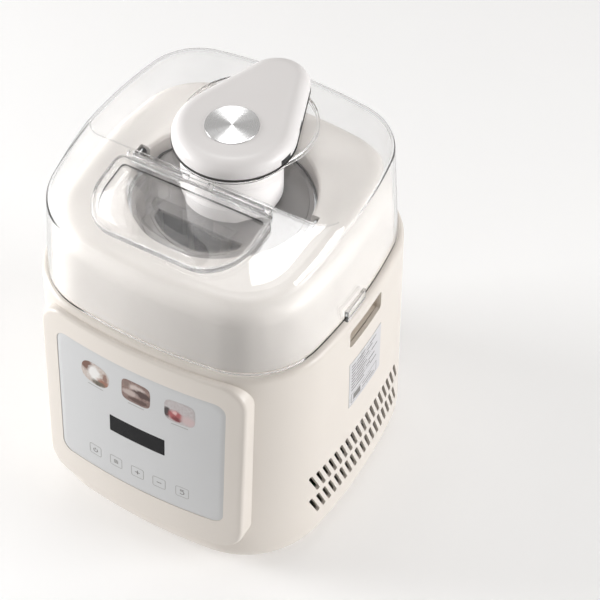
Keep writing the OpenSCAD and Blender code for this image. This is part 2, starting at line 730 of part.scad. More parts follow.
function egg(y1, r1, y2, r2) =
    let(s = asin((r1 - r2) / (y2 - y1)))
    concat(
        [for (k = [0:36]) let(t = lerp(s - 180, s * -1, k / 36)) let(u = lerp(180 - s, 360 + s, k / 36))
            [r1 * cos(u), y1 + r1 * sin(u)]],
        [for (k = [0:24]) let(u = lerp(s, 180 - s, k / 24)) [r2 * cos(u), y2 + r2 * sin(u)]]);

module lid_collar() {
    color([0.85, 0.90, 0.92, 0.35]) translate([0, 0, lid_z]) linear_extrude(collar_h) difference() {
        polygon(egg(collar_y1, collar_r1, collar_y2, collar_r2));
        polygon(egg(collar_y1, collar_r1 - collar_t, collar_y2, collar_r2 - collar_t));
    }
}

module lid_tabs() {
    color([0.85, 0.90, 0.92, 0.35]) for (s = [-1, 1]) difference() {
        translate([s > 0 ? 104 : -114, -24, lid_z0]) cube([10, 26, 11]);
        stack([for (z = [lid_z0 - 2, lid_z0 + 20]) lift(loop(lid_a + 0.02, lid_b + 0.02, bow_rim, 60), z)]);
    }
}

module hinge_pin() {
    color([0.85, 0.90, 0.92, 0.6]) {
        translate([-56, pin_y, pin_z]) rotate([0, 90, 0]) cylinder(r = pin_r, h = 112, $fn = 24);
        for (x = knuckles) translate([x, pin_y, 0]) {
            translate([0, 0, pin_z]) rotate([0, 90, 0]) cylinder(r = barrel_r, h = 4, $fn = 24);
        }
        for (x = knuckles) on_slope() translate([x + 0.4, pin_y - 1.3, 0.02]) cube([3.2, 2.4, 1.5]);
    }
}

module feed_flap() {
    color([0.85, 0.90, 0.92, 0.35]) difference() {
        union() {
            on_slope() translate([0, 0, gap]) difference() {
                linear_extrude(flap_rim) polygon(flap_line(0));
                translate([0, 0, flap_t]) linear_extrude(flap_rim) polygon(flap_line(2.4));
            }
            for (x = [-51.5, 12.5]) {
                translate([x, pin_y, pin_z]) rotate([0, 90, 0]) cylinder(r = barrel_r, h = 39, $fn = 24);
                on_slope() translate([x + 0.2, flap_y0 - 1.4, gap + 0.4]) cube([38.6, pin_y - flap_y0 + 1.4, flap_t]);
            }
        }
        translate([-80, pin_y, pin_z]) rotate([0, 90, 0]) cylinder(r = pin_r + fit, h = 160, $fn = 24);
        for (x = knuckles) translate([x - 0.4, pin_y - 3.4, pin_z - 8]) cube([4.8, 6.8, 16]);
    }
}

// Motor head --------------------------------------------------------------------------------------

module head_skin(t) {
    z = [head_z0, head_z0 + 2.5, 311, 315.4, 318, head_z1];
    e = [1.4, 0, 0, 1.6, 5, 9.5];
    stack([for (k = [0:5]) lift(egg(head_y, head_r - e[k] - t, tail_y, tail_r - e[k] - t),
        k == 0 ? z[0] - t : k == 5 ? z[5] - t : min(z[k], head_z1 - t - (5 - k) * 0.4))]);
}

module head_cover() {
    color([0.94, 0.91, 0.86]) difference() {
        head_skin(0);
        head_skin(2.5);
        translate([0, disc_y, head_z1 - 0.9]) cylinder(r = disc_r + 0.1, h = 5);
        translate([0, disc_y, head_z1 - 5]) cylinder(r = 3, h = 8, $fn = 24);
    }
}

module head_seal() {
    color([0.10, 0.10, 0.10]) translate([0, 0, head_z0 - 0.55]) linear_extrude(0.5) difference() {
        polygon(egg(head_y, head_r - 1.2, tail_y, tail_r - 1.2));
        polygon(egg(head_y, head_r - 3.8, tail_y, tail_r - 3.8));
        translate([0, motor_y]) circle(r = motor_r + 0.3);
    }
}

module metal_disc() {
    color([0.75, 0.76, 0.78]) {
        translate([0, disc_y, head_z1 - 0.9]) cylinder(r = disc_r, h = 1.3);
        translate([0, disc_y, head_z1 - 4]) cylinder(r = 2.9, h = 4, $fn = 24);
    }
}

module motor_housing() {
    color([0.93, 0.90, 0.85]) difference() {
        union() {
            translate([0, motor_y, can_bottom]) cylinder(r = motor_r, h = head_z0 - can_bottom);
            translate([0, 0, head_z0 - 0.5]) linear_extrude(2.3) polygon(egg(head_y, head_r - 4.2, tail_y, tail_r - 4.2));
            translate([0, post_y, lid_z - 3.4]) cylinder(r = post_r + 1.8, h = head_z0 - lid_z + 4, $fn = 48);
        }
        translate([0, motor_y, can_bottom + 2.5]) cylinder(r = motor_r - 2.5, h = 60);
        cylinder(r = 12 + fit, h = 300, $fn = 48);
        translate([0, post_y, 280]) cylinder(r = post_r - 0.5, h = 40, $fn = 32);
    }
}

module housing_bush() {
    color([0.70, 0.55, 0.30]) translate([0, 0, can_bottom]) difference() {
        cylinder(r = 12, h = 3.2, $fn = 48);
        translate([0, 0, -1]) cylinder(r = hub_r + fit, h = 8, $fn = 48);
    }
}

// Involute tooth half angle at radius q for a gear of n teeth.
function inv(a) = tan(a) * 180 / PI - a;
function half(n, q) =
    let(r = n * mod / 2, rb = r * cos(20))
    72 / n * 1.02 + inv(20) - inv(q > rb ? acos(rb / q) : 0);

function gear_line(n, ph) =
    let(r = n * mod / 2, ro = r + 0.8 * mod, ri = r - 1.15 * mod, rb = max(ri, r * cos(20)),
        q = [ri, rb, lerp(rb, ro, 0.35), lerp(rb, ro, 0.7), ro])
    [for (k = [0:n - 1]) for (j = [0:9])
        let(w = j < 5 ? -half(n, q[j]) : half(n, q[9 - j]), s = j < 5 ? q[j] : q[9 - j], t = ph + k * 360 / n + w)
        [s * cos(t), s * sin(t)]];

module spur(n, ph, h) {
    linear_extrude(h) polygon(gear_line(n, ph));
}

module output_gear() {
    color([0.92, 0.92, 0.90]) difference() {
        union() {
            translate([0, 0, can_bottom + 0.2]) cylinder(r = hub_r, h = plate_z0 - can_bottom - 0.6, $fn = 48);
            translate([0, 0, gear_z0]) spur(teeth_out, 90, gear_h);
        }
        translate([0, 0, can_bottom - 1]) cylinder(r = stem_r + 0.35, h = 15, $fn = 6);
    }
    color([0.70, 0.70, 0.70]) translate([0, 0, plate_z0 - 0.5]) cylinder(r = 2.5, h = 5, $fn = 32);
}

module idler_gear() {
    color([0.92, 0.92, 0.90]) translate([0, idler_y, 0]) difference() {
        union() {
            translate([0, 0, gear_z0]) spur(teeth_small, 270 + 180 / teeth_small, large_z0 - gear_z0 + 0.5);
            translate([0, 0, large_z0]) spur(teeth_large, 0, large_h);
        }
        translate([0, 0, 250]) cylinder(r = 2 + fit, h = 40, $fn = 32);
    }
}

module motor_pinion() {
    color([0.80, 0.65, 0.35]) translate([pin_x, idler_y, 0]) {
        translate([0, 0, large_z0]) spur(teeth_pin, 180 + 180 / teeth_pin, large_h);
        translate([0, 0, large_z0]) cylinder(r = 1.5, h = 16, $fn = 24);
    }
}

module gear_plate() {
    color([0.70, 0.71, 0.72]) difference() {
        union() {
            translate([0, motor_y, plate_z0]) cylinder(r = motor_r - 3, h = 2.5);
            translate([0, idler_y, can_bottom + 2.6]) cylinder(r = 2, h = plate_z0 - can_bottom - 2, $fn = 32);
        }
        translate([0, 0, plate_z0 - 1]) cylinder(r = 2.5 + fit, h = 10, $fn = 32);
        translate([pin_x, idler_y, plate_z0 - 1]) cylinder(r = 1.5 + fit, h = 10, $fn = 24);
    }
}

module motor() {
    color([0.45, 0.46, 0.48]) translate([pin_x, idler_y, plate_z0 + 2.5]) difference() {
        union() {
            cylinder(r = 13.2, h = 26, $fn = 64);
            translate([0, 0, 25.9]) cylinder(r = 5, h = 3, $fn = 32);
        }
        translate([0, 0, -1]) cylinder(r = 1.5 + fit, h = 12, $fn = 24);
    }
}

module head_contacts() {
    color([0.80, 0.62, 0.25]) for (x = [-1, 1]) translate([x * 4, post_y, lid_z - 11]) {
        cylinder(r = 1.5, h = 20, $fn = 20);
    }
    color([0.20, 0.20, 0.21]) translate([0, post_y, lid_z - 3.2]) cylinder(r = post_r - 0.6, h = 9, $fn = 32);
}

module head_screws() {
    color([0.65, 0.65, 0.66]) for (x = [-1, 1]) translate([x * 20, 48 + 6, head_z0 + 1.8]) {
        cylinder(r = 3, h = 1.6, $fn = 24);
    }
}

outer_shell();
base_pan();
feet();
front_bezel();
panel_membrane();
display_window();
control_board();
rear_grille();
ac_inlet();
rating_label();
grip_pockets();
top_cover();
cover_gasket();
evaporator_can();
evaporator_coil();
insulation();
compressor();
compressor_mounts();
compressor_bolts();
start_relay();
condenser_fins();
condenser_tubes();
fan_frame();
fan_impeller();
filter_drier();
discharge_pipe();
power_board();
power_post();
lid_switch();
base_screws();
bowl();
dasher();
drive_stem();
bowl_lid();
bowl_lid_seal();
lid_shell();
lid_collar();
lid_tabs();
hinge_pin();
feed_flap();
head_cover();
head_seal();
metal_disc();
motor_housing();
housing_bush();
output_gear();
idler_gear();
motor_pinion();
gear_plate();
motor();
head_contacts();
head_screws();
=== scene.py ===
import math
import bmesh
import bpy
import numpy as np
from mathutils import Matrix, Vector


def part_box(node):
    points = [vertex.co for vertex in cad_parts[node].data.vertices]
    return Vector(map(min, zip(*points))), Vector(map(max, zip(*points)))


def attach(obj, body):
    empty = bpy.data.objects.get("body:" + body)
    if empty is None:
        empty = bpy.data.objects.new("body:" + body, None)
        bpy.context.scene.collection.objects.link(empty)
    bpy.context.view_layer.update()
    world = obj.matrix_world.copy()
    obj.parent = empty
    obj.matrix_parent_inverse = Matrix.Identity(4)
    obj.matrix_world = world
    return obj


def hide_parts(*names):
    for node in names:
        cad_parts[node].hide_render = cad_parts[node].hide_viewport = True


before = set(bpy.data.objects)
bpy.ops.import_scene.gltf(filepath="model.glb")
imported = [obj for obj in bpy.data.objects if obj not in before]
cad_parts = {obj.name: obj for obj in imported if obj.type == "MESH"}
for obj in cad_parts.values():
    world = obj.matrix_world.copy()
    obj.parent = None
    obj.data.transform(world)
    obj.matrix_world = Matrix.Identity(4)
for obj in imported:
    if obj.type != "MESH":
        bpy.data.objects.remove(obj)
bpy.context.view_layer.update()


# camera and studio

cameraLook = {
    "place": (469.03, -740.24, 1139.37),
    "right": (0.85496, 0.51839, -0.01781),
    "up": (-0.37449, 0.64066, 0.67031),
    "back": (0.35889, -0.56642, 0.74187),
    "lens": 106.38,
    "shift": (0.1245, -0.0249),
}

camData = bpy.data.cameras.new("studioCamera")
camData.lens = cameraLook["lens"]
camData.sensor_width = 36
camData.shift_x, camData.shift_y = cameraLook["shift"]
camData.clip_start, camData.clip_end = 0.05, 50
camera = bpy.data.objects.new("studioCamera", camData)
axes = np.array([cameraLook["right"], cameraLook["up"], cameraLook["back"]]).T
turn = np.eye(4)
turn[:3, :3] = axes
turn[:3, 3] = np.array(cameraLook["place"]) / 1000
camera.matrix_world = Matrix(turn.tolist())
bpy.context.scene.collection.objects.link(camera)
bpy.context.scene.camera = camera

lampLook = [
    # name, place in metres, aim in metres, width, height, power, colour, lights matt surfaces
    ("leftPanel", (-1.9, -0.75, 0.6), (0, 0, 0.14), 0.9, 0.8, 42.0, (0.99, 0.995, 1.0), True),
    ("rightPanel", (1.9, 0.5, 0.6), (0, 0, 0.14), 0.9, 0.8, 24.0, (0.99, 0.995, 1.0), True),
    ("topPanel", (-0.1, 0.3, 2.1), (0, 0, 0.2), 1.2, 1.2, 7.0, (1.0, 1.0, 1.0), True),
    ("glintPanel", (-0.45, 0.72, 1.8), (0, 0, 0.3), 0.4, 0.4, 5.0, (1.0, 1.0, 1.0), False),
]


def addLamp(name, place, aim, width, height, power, colour, matt):
    data = bpy.data.lights.new(name, "AREA")
    data.shape = "RECTANGLE"
    data.size, data.size_y = width, height
    data.energy = power
    data.color = colour
    lamp = bpy.data.objects.new(name, data)
    back = np.array(place) - np.array(aim)
    back = back / np.linalg.norm(back)
    side = np.cross((0, 0, 1), back)
    side = side / np.linalg.norm(side)
    pose = np.eye(4)
    pose[:3, 0], pose[:3, 1], pose[:3, 2], pose[:3, 3] = side, np.cross(back, side), back, place
    lamp.matrix_world = Matrix(pose.tolist())
    lamp.visible_diffuse = matt
    bpy.context.scene.collection.objects.link(lamp)


for lampRow in lampLook:
    addLamp(*lampRow)

roomLook = {"fill": 0.3, "seenInGlass": 0.9, "glossyShare": 0.3}
world = bpy.data.worlds.new("paleRoom")
world.use_nodes = True
sky = world.node_tree
sky.nodes["Background"].inputs[0].default_value = (1.0, 0.965, 0.93, 1)
sky.nodes["Background"].inputs[1].default_value = roomLook["fill"]
bright = sky.nodes.new("ShaderNodeBackground")
bright.inputs[0].default_value = (1.0, 1.0, 1.0, 1)
bright.inputs[1].default_value = roomLook["seenInGlass"]
chooser = sky.nodes.new("ShaderNodeMixShader")
path = sky.nodes.new("ShaderNodeLightPath")


def skyMath(operation):
    step = sky.nodes.new("ShaderNodeMath")
    step.operation = operation
    return step


# rays that passed clear or glossy parts see the brighter room, unless a matt surface sent them on
either, direct, both, glossy = [skyMath(kind) for kind in ("MAXIMUM", "LESS_THAN", "MULTIPLY", "MULTIPLY")]
glossy.inputs[1].default_value = roomLook["glossyShare"]
direct.inputs[1].default_value = 0.5
for source, target in (
        (path.outputs["Is Transmission Ray"], either.inputs[0]),
        (path.outputs["Is Glossy Ray"], glossy.inputs[0]), (glossy.outputs[0], either.inputs[1]),
        (path.outputs["Diffuse Depth"], direct.inputs[0]),
        (either.outputs[0], both.inputs[0]), (direct.outputs[0], both.inputs[1]),
        (both.outputs[0], chooser.inputs[0]), (sky.nodes["Background"].outputs[0], chooser.inputs[1]),
        (bright.outputs[0], chooser.inputs[2]),
        (chooser.outputs[0], sky.nodes["World Output"].inputs["Surface"])):
    sky.links.new(source, target)
bpy.context.scene.view_settings.view_transform = "Standard"
bpy.context.scene.world = world
print("stage: camera and lamps are in")


# mesh helpers; lengths are in millimetres until the mesh is filled

def gridPart(points, ringRows=False, ringCols=True, capFirst=False, capLast=False):
    # quads between neighbouring rows and columns of a (rows, columns, 3) array, with optional flat caps
    rows, cols = points.shape[:2]
    index = np.arange(rows * cols).reshape(rows, cols)
    low = index if ringRows else index[:-1]
    high = np.roll(index, -1, axis=0) if ringRows else index[1:]
    nextLow = np.roll(low, -1, axis=1)
    nextHigh = np.roll(high, -1, axis=1)
    if not ringCols:
        low, high, nextLow, nextHigh = low[:, :-1], high[:, :-1], nextLow[:, :-1], nextHigh[:, :-1]
    quads = np.stack([low, nextLow, nextHigh, high], axis=-1).reshape(-1, 4).tolist()
    if capFirst:
        quads.append(index[0][::-1].tolist())
    if capLast:
        quads.append(index[-1].tolist())
    return points.reshape(-1, 3), quads


def smoothMesh(mesh, angle):
    mesh.polygons.foreach_set("use_smooth", np.ones(len(mesh.polygons), bool))
    mesh.set_sharp_from_angle(angle=math.radians(angle))
    mesh.update()


def makePiece(name, parts, angle=34, weld=1e-6):
    # several point and face sets become one closed mesh in metres, outward faces, doubles merged
    points, faces, base = [], [], 0
    for partPoints, partFaces in parts:
        points.append(partPoints)
        faces += [[i + base for i in f] for f in partFaces]
        base += len(partPoints)
    mesh = bpy.data.meshes.new(name)
    mesh.from_pydata((np.vstack(points) / 1000).tolist(), [], faces)
    work = bmesh.new()
    work.from_mesh(mesh)
    bmesh.ops.remove_doubles(work, verts=work.verts, dist=weld)
    bmesh.ops.recalc_face_normals(work, faces=work.faces)
    work.to_mesh(mesh)
    work.free()
    smoothMesh(mesh, angle)
    piece = bpy.data.objects.new(name, mesh)
    bpy.context.scene.collection.objects.link(piece)
    return piece


def carve(piece, cutters, angle=34):
    # the cutters are taken out of the piece, and the result becomes its own mesh
    for cutter in cutters:
        cut = piece.modifiers.new("cut", "BOOLEAN")
        cut.operation, cut.solver, cut.object = "DIFFERENCE", "EXACT", cutter
    bpy.context.view_layer.update()
    solved = bpy.data.meshes.new_from_object(piece.evaluated_get(bpy.context.evaluated_depsgraph_get()))
    piece.modifiers.clear()
    piece.data = solved
    smoothMesh(solved, angle)
    for cutter in cutters:
        bpy.data.objects.remove(cutter)
    return piece


def softEdges(piece, width, segments=2, angle=40):
    bevel = piece.modifiers.new("softEdges", "BEVEL")
    bevel.width = width / 1000
    bevel.segments = segments
    bevel.limit_method = "ANGLE"
    bevel.angle_limit = math.radians(angle)
    bevel.harden_normals = True
    return piece


def settle(piece, body, slotName, material, *nodes):
    piece.data.materials.clear()
    piece.data.materials.append(material)
    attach(piece, body)
    if nodes:
        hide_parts(*nodes)
    return piece


def softened(node, body, slotName, material, edge=0.0, segments=2, angle=32, name=None):
    # a merged copy of a node, smooth where it bends gently, with a small radius on its hard edges
    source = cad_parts[node]
    mesh = source.data.copy()
    work = bmesh.new()
    work.from_mesh(mesh)
    bmesh.ops.remove_doubles(work, verts=work.verts, dist=2e-6)
    bmesh.ops.dissolve_limit(work, angle_limit=math.radians(0.6), verts=work.verts, edges=work.edges)
    work.to_mesh(mesh)
    work.free()
    smoothMesh(mesh, angle)
    words = node.split("_")
    piece = bpy.data.objects.new(name or words[0] + "".join(w.capitalize() for w in words[1:]) + "Soft", mesh)
    bpy.context.scene.collection.objects.link(piece)
    if edge:
        softEdges(piece, edge, segments)
    return settle(piece, body, slotName, material, node)


def ease(t):
    return t * t * (3 - 2 * t)


def arcCentres(a, b, bow, corner):
    # offsets of the wide arcs' centres and the centre of the corner arc that joins them
    p, q, r = bow - a, bow - b, bow - corner
    d = np.hypot(p, q)
    h = np.sqrt(r * r - d * d / 4)
    return p, q, -p / 2 + h * q / d, -q / 2 + h * p / d


def squircle(a, b, bow, corner, side=16, bend=22):
    # four wide arcs of radius bow joined by four corner arcs; one row for each value of the inputs
    a, b, bow, corner = [np.atleast_1d(v).astype(float)[:, None] for v in np.broadcast_arrays(a, b, bow, corner)]
    p, q, kx, ky = arcCentres(a, b, bow, corner)
    t1, t2 = np.arctan2(ky, kx + p), np.arctan2(ky + q, kx)
    s = np.linspace(0, 1, side, endpoint=False)[None]
    c = np.linspace(0, 1, bend, endpoint=False)[None]
    f = np.linspace(0, 1, side + 1)[None]
    tb, tf = t1 + (t2 - t1) * c, t2 + (np.pi / 2 - t2) * f
    x = np.hstack([-p + bow * np.cos(t1 * s), kx + corner * np.cos(tb), bow * np.cos(tf)])
    y = np.hstack([bow * np.sin(t1 * s), ky + corner * np.sin(tb), -q + bow * np.sin(tf)])
    n = x.shape[1] - 1
    fullX = np.hstack([x[:, :n], -x[:, n:0:-1], -x[:, :n], x[:, n:0:-1]])
    fullY = np.hstack([y[:, :n], y[:, n:0:-1], -y[:, :n], -y[:, n:0:-1]])
    return np.stack([fullX, fullY], axis=-1)


def eggLine(y1, r1, y2, r2, inset, front=96, tail=56, flank=10):
    # outline of two circles of different size and their two tangents, moved inwards by each inset
    inset = np.atleast_1d(inset).astype(float)[:, None]
    s = math.asin((r1 - r2) / (y2 - y1))
    t = np.linspace(math.pi - s, 2 * math.pi + s, front)[None]
    u = np.linspace(s, math.pi - s, tail)[None]
    big = np.stack([(r1 - inset) * np.cos(t), y1 + (r1 - inset) * np.sin(t)], axis=-1)
    small = np.stack([(r2 - inset) * np.cos(u), y2 + (r2 - inset) * np.sin(u)], axis=-1)
    k = np.linspace(0, 1, flank + 2)[1:-1][None, :, None]
    rise = big[:, -1:] * (1 - k) + small[:, :1] * k
    fall = small[:, -1:] * (1 - k) + big[:, :1] * k
    return np.concatenate([big, rise, small, fall], axis=1)


def atHeight(plan, z):
    # a (rows, columns, 2) plan and its heights become points in space
    return np.concatenate([plan, np.broadcast_to(np.asarray(z, float), plan.shape[:2])[..., None]], axis=-1)


def lathePart(profile, centre=(0, 0), around=96, ring=False, caps=(True, True)):
    # a profile of (radius, height) turned about an upright axis at centre
    t = np.linspace(0, 2 * np.pi, around, endpoint=False)[None]
    r, z = np.array(profile, float)[:, :1], np.array(profile, float)[:, 1:]
    points = np.stack([centre[0] + r * np.cos(t), centre[1] + r * np.sin(t), z + 0 * t], axis=-1)
    return gridPart(points, ringRows=ring, capFirst=caps[0] and not ring, capLast=caps[1] and not ring)


def prismPart(outline, low, high, axis=2):
    # a flat outline carried straight along one axis
    outline = np.asarray(outline, float)
    flat = np.stack([np.insert(outline, axis, low, axis=1), np.insert(outline, axis, high, axis=1)])
    return gridPart(flat, capFirst=True, capLast=True)


def roundedBox(half, radius, centre, steps=6):
    # outline of a rectangle with round corners: four quarter arcs in order
    t = (np.arange(4)[:, None] * np.pi / 2 + np.linspace(0, np.pi / 2, steps)[None]).ravel()
    sx = np.repeat([1, -1, -1, 1], steps)
    sy = np.repeat([1, 1, -1, -1], steps)
    return np.stack([centre[0] + sx * (half[0] - radius) + radius * np.cos(t),
                     centre[1] + sy * (half[1] - radius) + radius * np.sin(t)], axis=-1)


def nodeBox(node):
    low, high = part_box(node)
    return np.array(low) * 1000, np.array(high) * 1000


# material helpers

def linear(rgb):
    c = np.array(rgb, float) / 255
    return tuple(np.where(c <= 0.04045, c / 12.92, ((c + 0.055) / 1.055) ** 2.4).tolist()) + (1.0,)


def newGroup(name, inputs, outputs):
    # each input is a colour, a number, or None for a vector; of the outputs only a tone is a colour
    tree = bpy.data.node_groups.new(name, "ShaderNodeTree")
    kinds = {tuple: "NodeSocketColor", float: "NodeSocketFloat", type(None): "NodeSocketVector"}
    for label, value in inputs.items():
        socket = tree.interface.new_socket(name=label, in_out="INPUT", socket_type=kinds[type(value)])
        if value is not None:
            socket.default_value = value
    for label in outputs:
        kind = kinds[tuple if label == "Tone" else float]
        tree.interface.new_socket(name=label, in_out="OUTPUT", socket_type=kind)
    return tree, tree.nodes.new("NodeGroupInput"), tree.nodes.new("NodeGroupOutput")


def addNode(tree, kind, values=None, **settings):
    node = tree.nodes.new(kind)
    for key, value in settings.items():
        setattr(node, key, value)
    for key, value in (values or {}).items():
        node.inputs[key].default_value = value
    return node


def noiseNode(tree, vector, scale, detail=3.0, rough=0.5):
    node = addNode(tree, "ShaderNodeTexNoise", {"Detail": detail, "Roughness": rough})
    tree.links.new(vector, node.inputs["Vector"])
    if isinstance(scale, (int, float)):
        node.inputs["Scale"].default_value = scale
    else:
        tree.links.new(scale, node.inputs["Scale"])
    return node.outputs["Fac"]


def mathNode(tree, operation, first, second, clamp=False):
    node = addNode(tree, "ShaderNodeMath", operation=operation, use_clamp=clamp)
    for i, value in enumerate((first, second)):
        if isinstance(value, (int, float)):
            node.inputs[i].default_value = value
        elif value is not None:
            tree.links.new(value, node.inputs[i])
    return node.outputs[0]


def mixColour(tree, factor, first, second, blend="MIX"):
    node = addNode(tree, "ShaderNodeMix", data_type="RGBA", blend_type=blend)
    for key, value in ((0, factor), (6, first), (7, second)):
        if hasattr(value, "is_linked") or hasattr(value, "links"):
            tree.links.new(value, node.inputs[key])
        else:
            node.inputs[key].default_value = value
    return node.outputs[2]


def spreadNode(tree, value, low, high, toLow=0.0, toHigh=1.0):
    node = addNode(tree, "ShaderNodeMapRange",
                   {"From Min": low, "From Max": high, "To Min": toLow, "To Max": toHigh})
    tree.links.new(value, node.inputs["Value"])
    return node.outputs["Result"]


def buildMouldedGrain():
    # tone drifts slowly, a fine spark texture gives height, and handled patches are a little shinier
    tree, put, out = newGroup("mouldedGrain", {
        "Tone": (0.8, 0.8, 0.8, 1), "Drift": 0.04, "Grain Scale": 1500.0, "Gloss": 0.35, "Gloss Spread": 0.08},
        ("Tone", "Roughness", "Height"))
    place = addNode(tree, "ShaderNodeTexCoord").outputs["Object"]
    slow = noiseNode(tree, place, 11.0, 2.0)
    fine = noiseNode(tree, place, put.outputs["Grain Scale"], 2.0, 0.6)
    rubbed = noiseNode(tree, place, 38.0, 5.0, 0.65)
    shade = spreadNode(tree, slow, 0.3, 0.7, -1.0, 1.0)
    shade = mathNode(tree, "MULTIPLY", shade, put.outputs["Drift"])
    speck = mathNode(tree, "MULTIPLY", spreadNode(tree, fine, 0.35, 0.65, -1.0, 1.0),
                     mathNode(tree, "MULTIPLY", put.outputs["Drift"], 0.35))
    value = addNode(tree, "ShaderNodeHueSaturation")
    tree.links.new(mathNode(tree, "ADD", mathNode(tree, "ADD", shade, speck), 1.0), value.inputs["Value"])
    tree.links.new(put.outputs["Tone"], value.inputs["Color"])
    tree.links.new(value.outputs[0], out.inputs["Tone"])
    swing = mathNode(tree, "MULTIPLY", spreadNode(tree, rubbed, 0.3, 0.7, -1.0, 1.0), put.outputs["Gloss Spread"])
    tree.links.new(mathNode(tree, "ADD", put.outputs["Gloss"], swing, True), out.inputs["Roughness"])
    tree.links.new(mathNode(tree, "ADD", mathNode(tree, "MULTIPLY", fine, 0.8),
                            mathNode(tree, "MULTIPLY", rubbed, 0.5)), out.inputs["Height"])
    return tree


def buildRubbedMetal():
    # long streaks along one axis of the pattern, uneven polish and a few darker stains
    tree, put, out = newGroup("rubbedMetal", {
        "Tone": (0.7, 0.7, 0.7, 1), "Stain": (0.3, 0.3, 0.3, 1), "Vector": None, "Streaks": 900.0,
        "Stain Share": 0.2, "Gloss": 0.25}, ("Tone", "Roughness", "Height"))
    place = addNode(tree, "ShaderNodeTexCoord").outputs["Object"]
    streak = noiseNode(tree, put.outputs["Vector"], put.outputs["Streaks"], 3.0, 0.6)
    cloud = noiseNode(tree, place, 26.0, 4.0, 0.6)
    mark = mathNode(tree, "MULTIPLY", spreadNode(tree, cloud, 0.48, 0.72), put.outputs["Stain Share"])
    mark = mathNode(tree, "ADD", mark, mathNode(tree, "MULTIPLY", spreadNode(tree, streak, 0.3, 0.7), 0.12), True)
    tree.links.new(mixColour(tree, mark, put.outputs["Tone"], put.outputs["Stain"]), out.inputs["Tone"])
    rough = mathNode(tree, "ADD", mathNode(tree, "MULTIPLY", spreadNode(tree, streak, 0.3, 0.7, -1.0, 1.0), 0.05),
                     mathNode(tree, "MULTIPLY", spreadNode(tree, cloud, 0.3, 0.7, -1.0, 1.0), 0.05))
    tree.links.new(mathNode(tree, "ADD", rough, put.outputs["Gloss"], True), out.inputs["Roughness"])
    tree.links.new(streak, out.inputs["Height"])
    return tree


def buildSettledDust():
    # pale film that gathers on faces that look up, in soft patches
    tree, put, out = newGroup("settledDust", {
        "Tone": (0.5, 0.5, 0.5, 1), "Dust": (0.7, 0.68, 0.64, 1), "Amount": 0.15}, ("Tone",))
    place = addNode(tree, "ShaderNodeTexCoord").outputs["Object"]
    upward = addNode(tree, "ShaderNodeSeparateXYZ")
    tree.links.new(addNode(tree, "ShaderNodeNewGeometry").outputs["Normal"], upward.inputs[0])
    patch = spreadNode(tree, noiseNode(tree, place, 70.0, 5.0, 0.6), 0.35, 0.7)
    mask = mathNode(tree, "MULTIPLY", spreadNode(tree, upward.outputs["Z"], 0.1, 0.9), patch)
    mask = mathNode(tree, "MULTIPLY", mask, put.outputs["Amount"], True)
    tree.links.new(mixColour(tree, mask, put.outputs["Tone"], put.outputs["Dust"]), out.inputs["Tone"])
    return tree


mouldedGrain = buildMouldedGrain()
rubbedMetal = buildRubbedMetal()
settledDust = buildSettledDust()


def newMaterial(name):
    material = bpy.data.materials.new(name)
    material.use_nodes = True
    return material, material.node_tree, material.node_tree.nodes["Principled BSDF"]


def setShader(shader, values):
    for key, value in values.items():
        shader.inputs[key].default_value = value


def bumpInto(tree, shader, height, strength, depth):
    bump = addNode(tree, "ShaderNodeBump", {"Strength": strength, "Distance": depth / 1000})
    tree.links.new(height, bump.inputs["Height"])
    tree.links.new(bump.outputs["Normal"], shader.inputs["Normal"])


def plastic(name, tone, gloss, spread, drift, grain, bump, depth, dust=0.0, **fixed):
    material, tree, shader = newMaterial(name)
    grainNode = addNode(tree, "ShaderNodeGroup")
    grainNode.node_tree = mouldedGrain
    for key, value in (("Tone", linear(tone)), ("Drift", drift), ("Grain Scale", grain), ("Gloss", gloss),
                       ("Gloss Spread", spread)):
        grainNode.inputs[key].default_value = value
    shown = grainNode.outputs["Tone"]
    if dust:
        film = addNode(tree, "ShaderNodeGroup")
        film.node_tree = settledDust
        film.inputs["Amount"].default_value = dust
        tree.links.new(shown, film.inputs["Tone"])
        shown = film.outputs["Tone"]
    tree.links.new(shown, shader.inputs["Base Color"])
    tree.links.new(grainNode.outputs["Roughness"], shader.inputs["Roughness"])
    bumpInto(tree, shader, grainNode.outputs["Height"], bump, depth)
    setShader(shader, {key.replace("_", " "): value for key, value in fixed.items()})
    return material


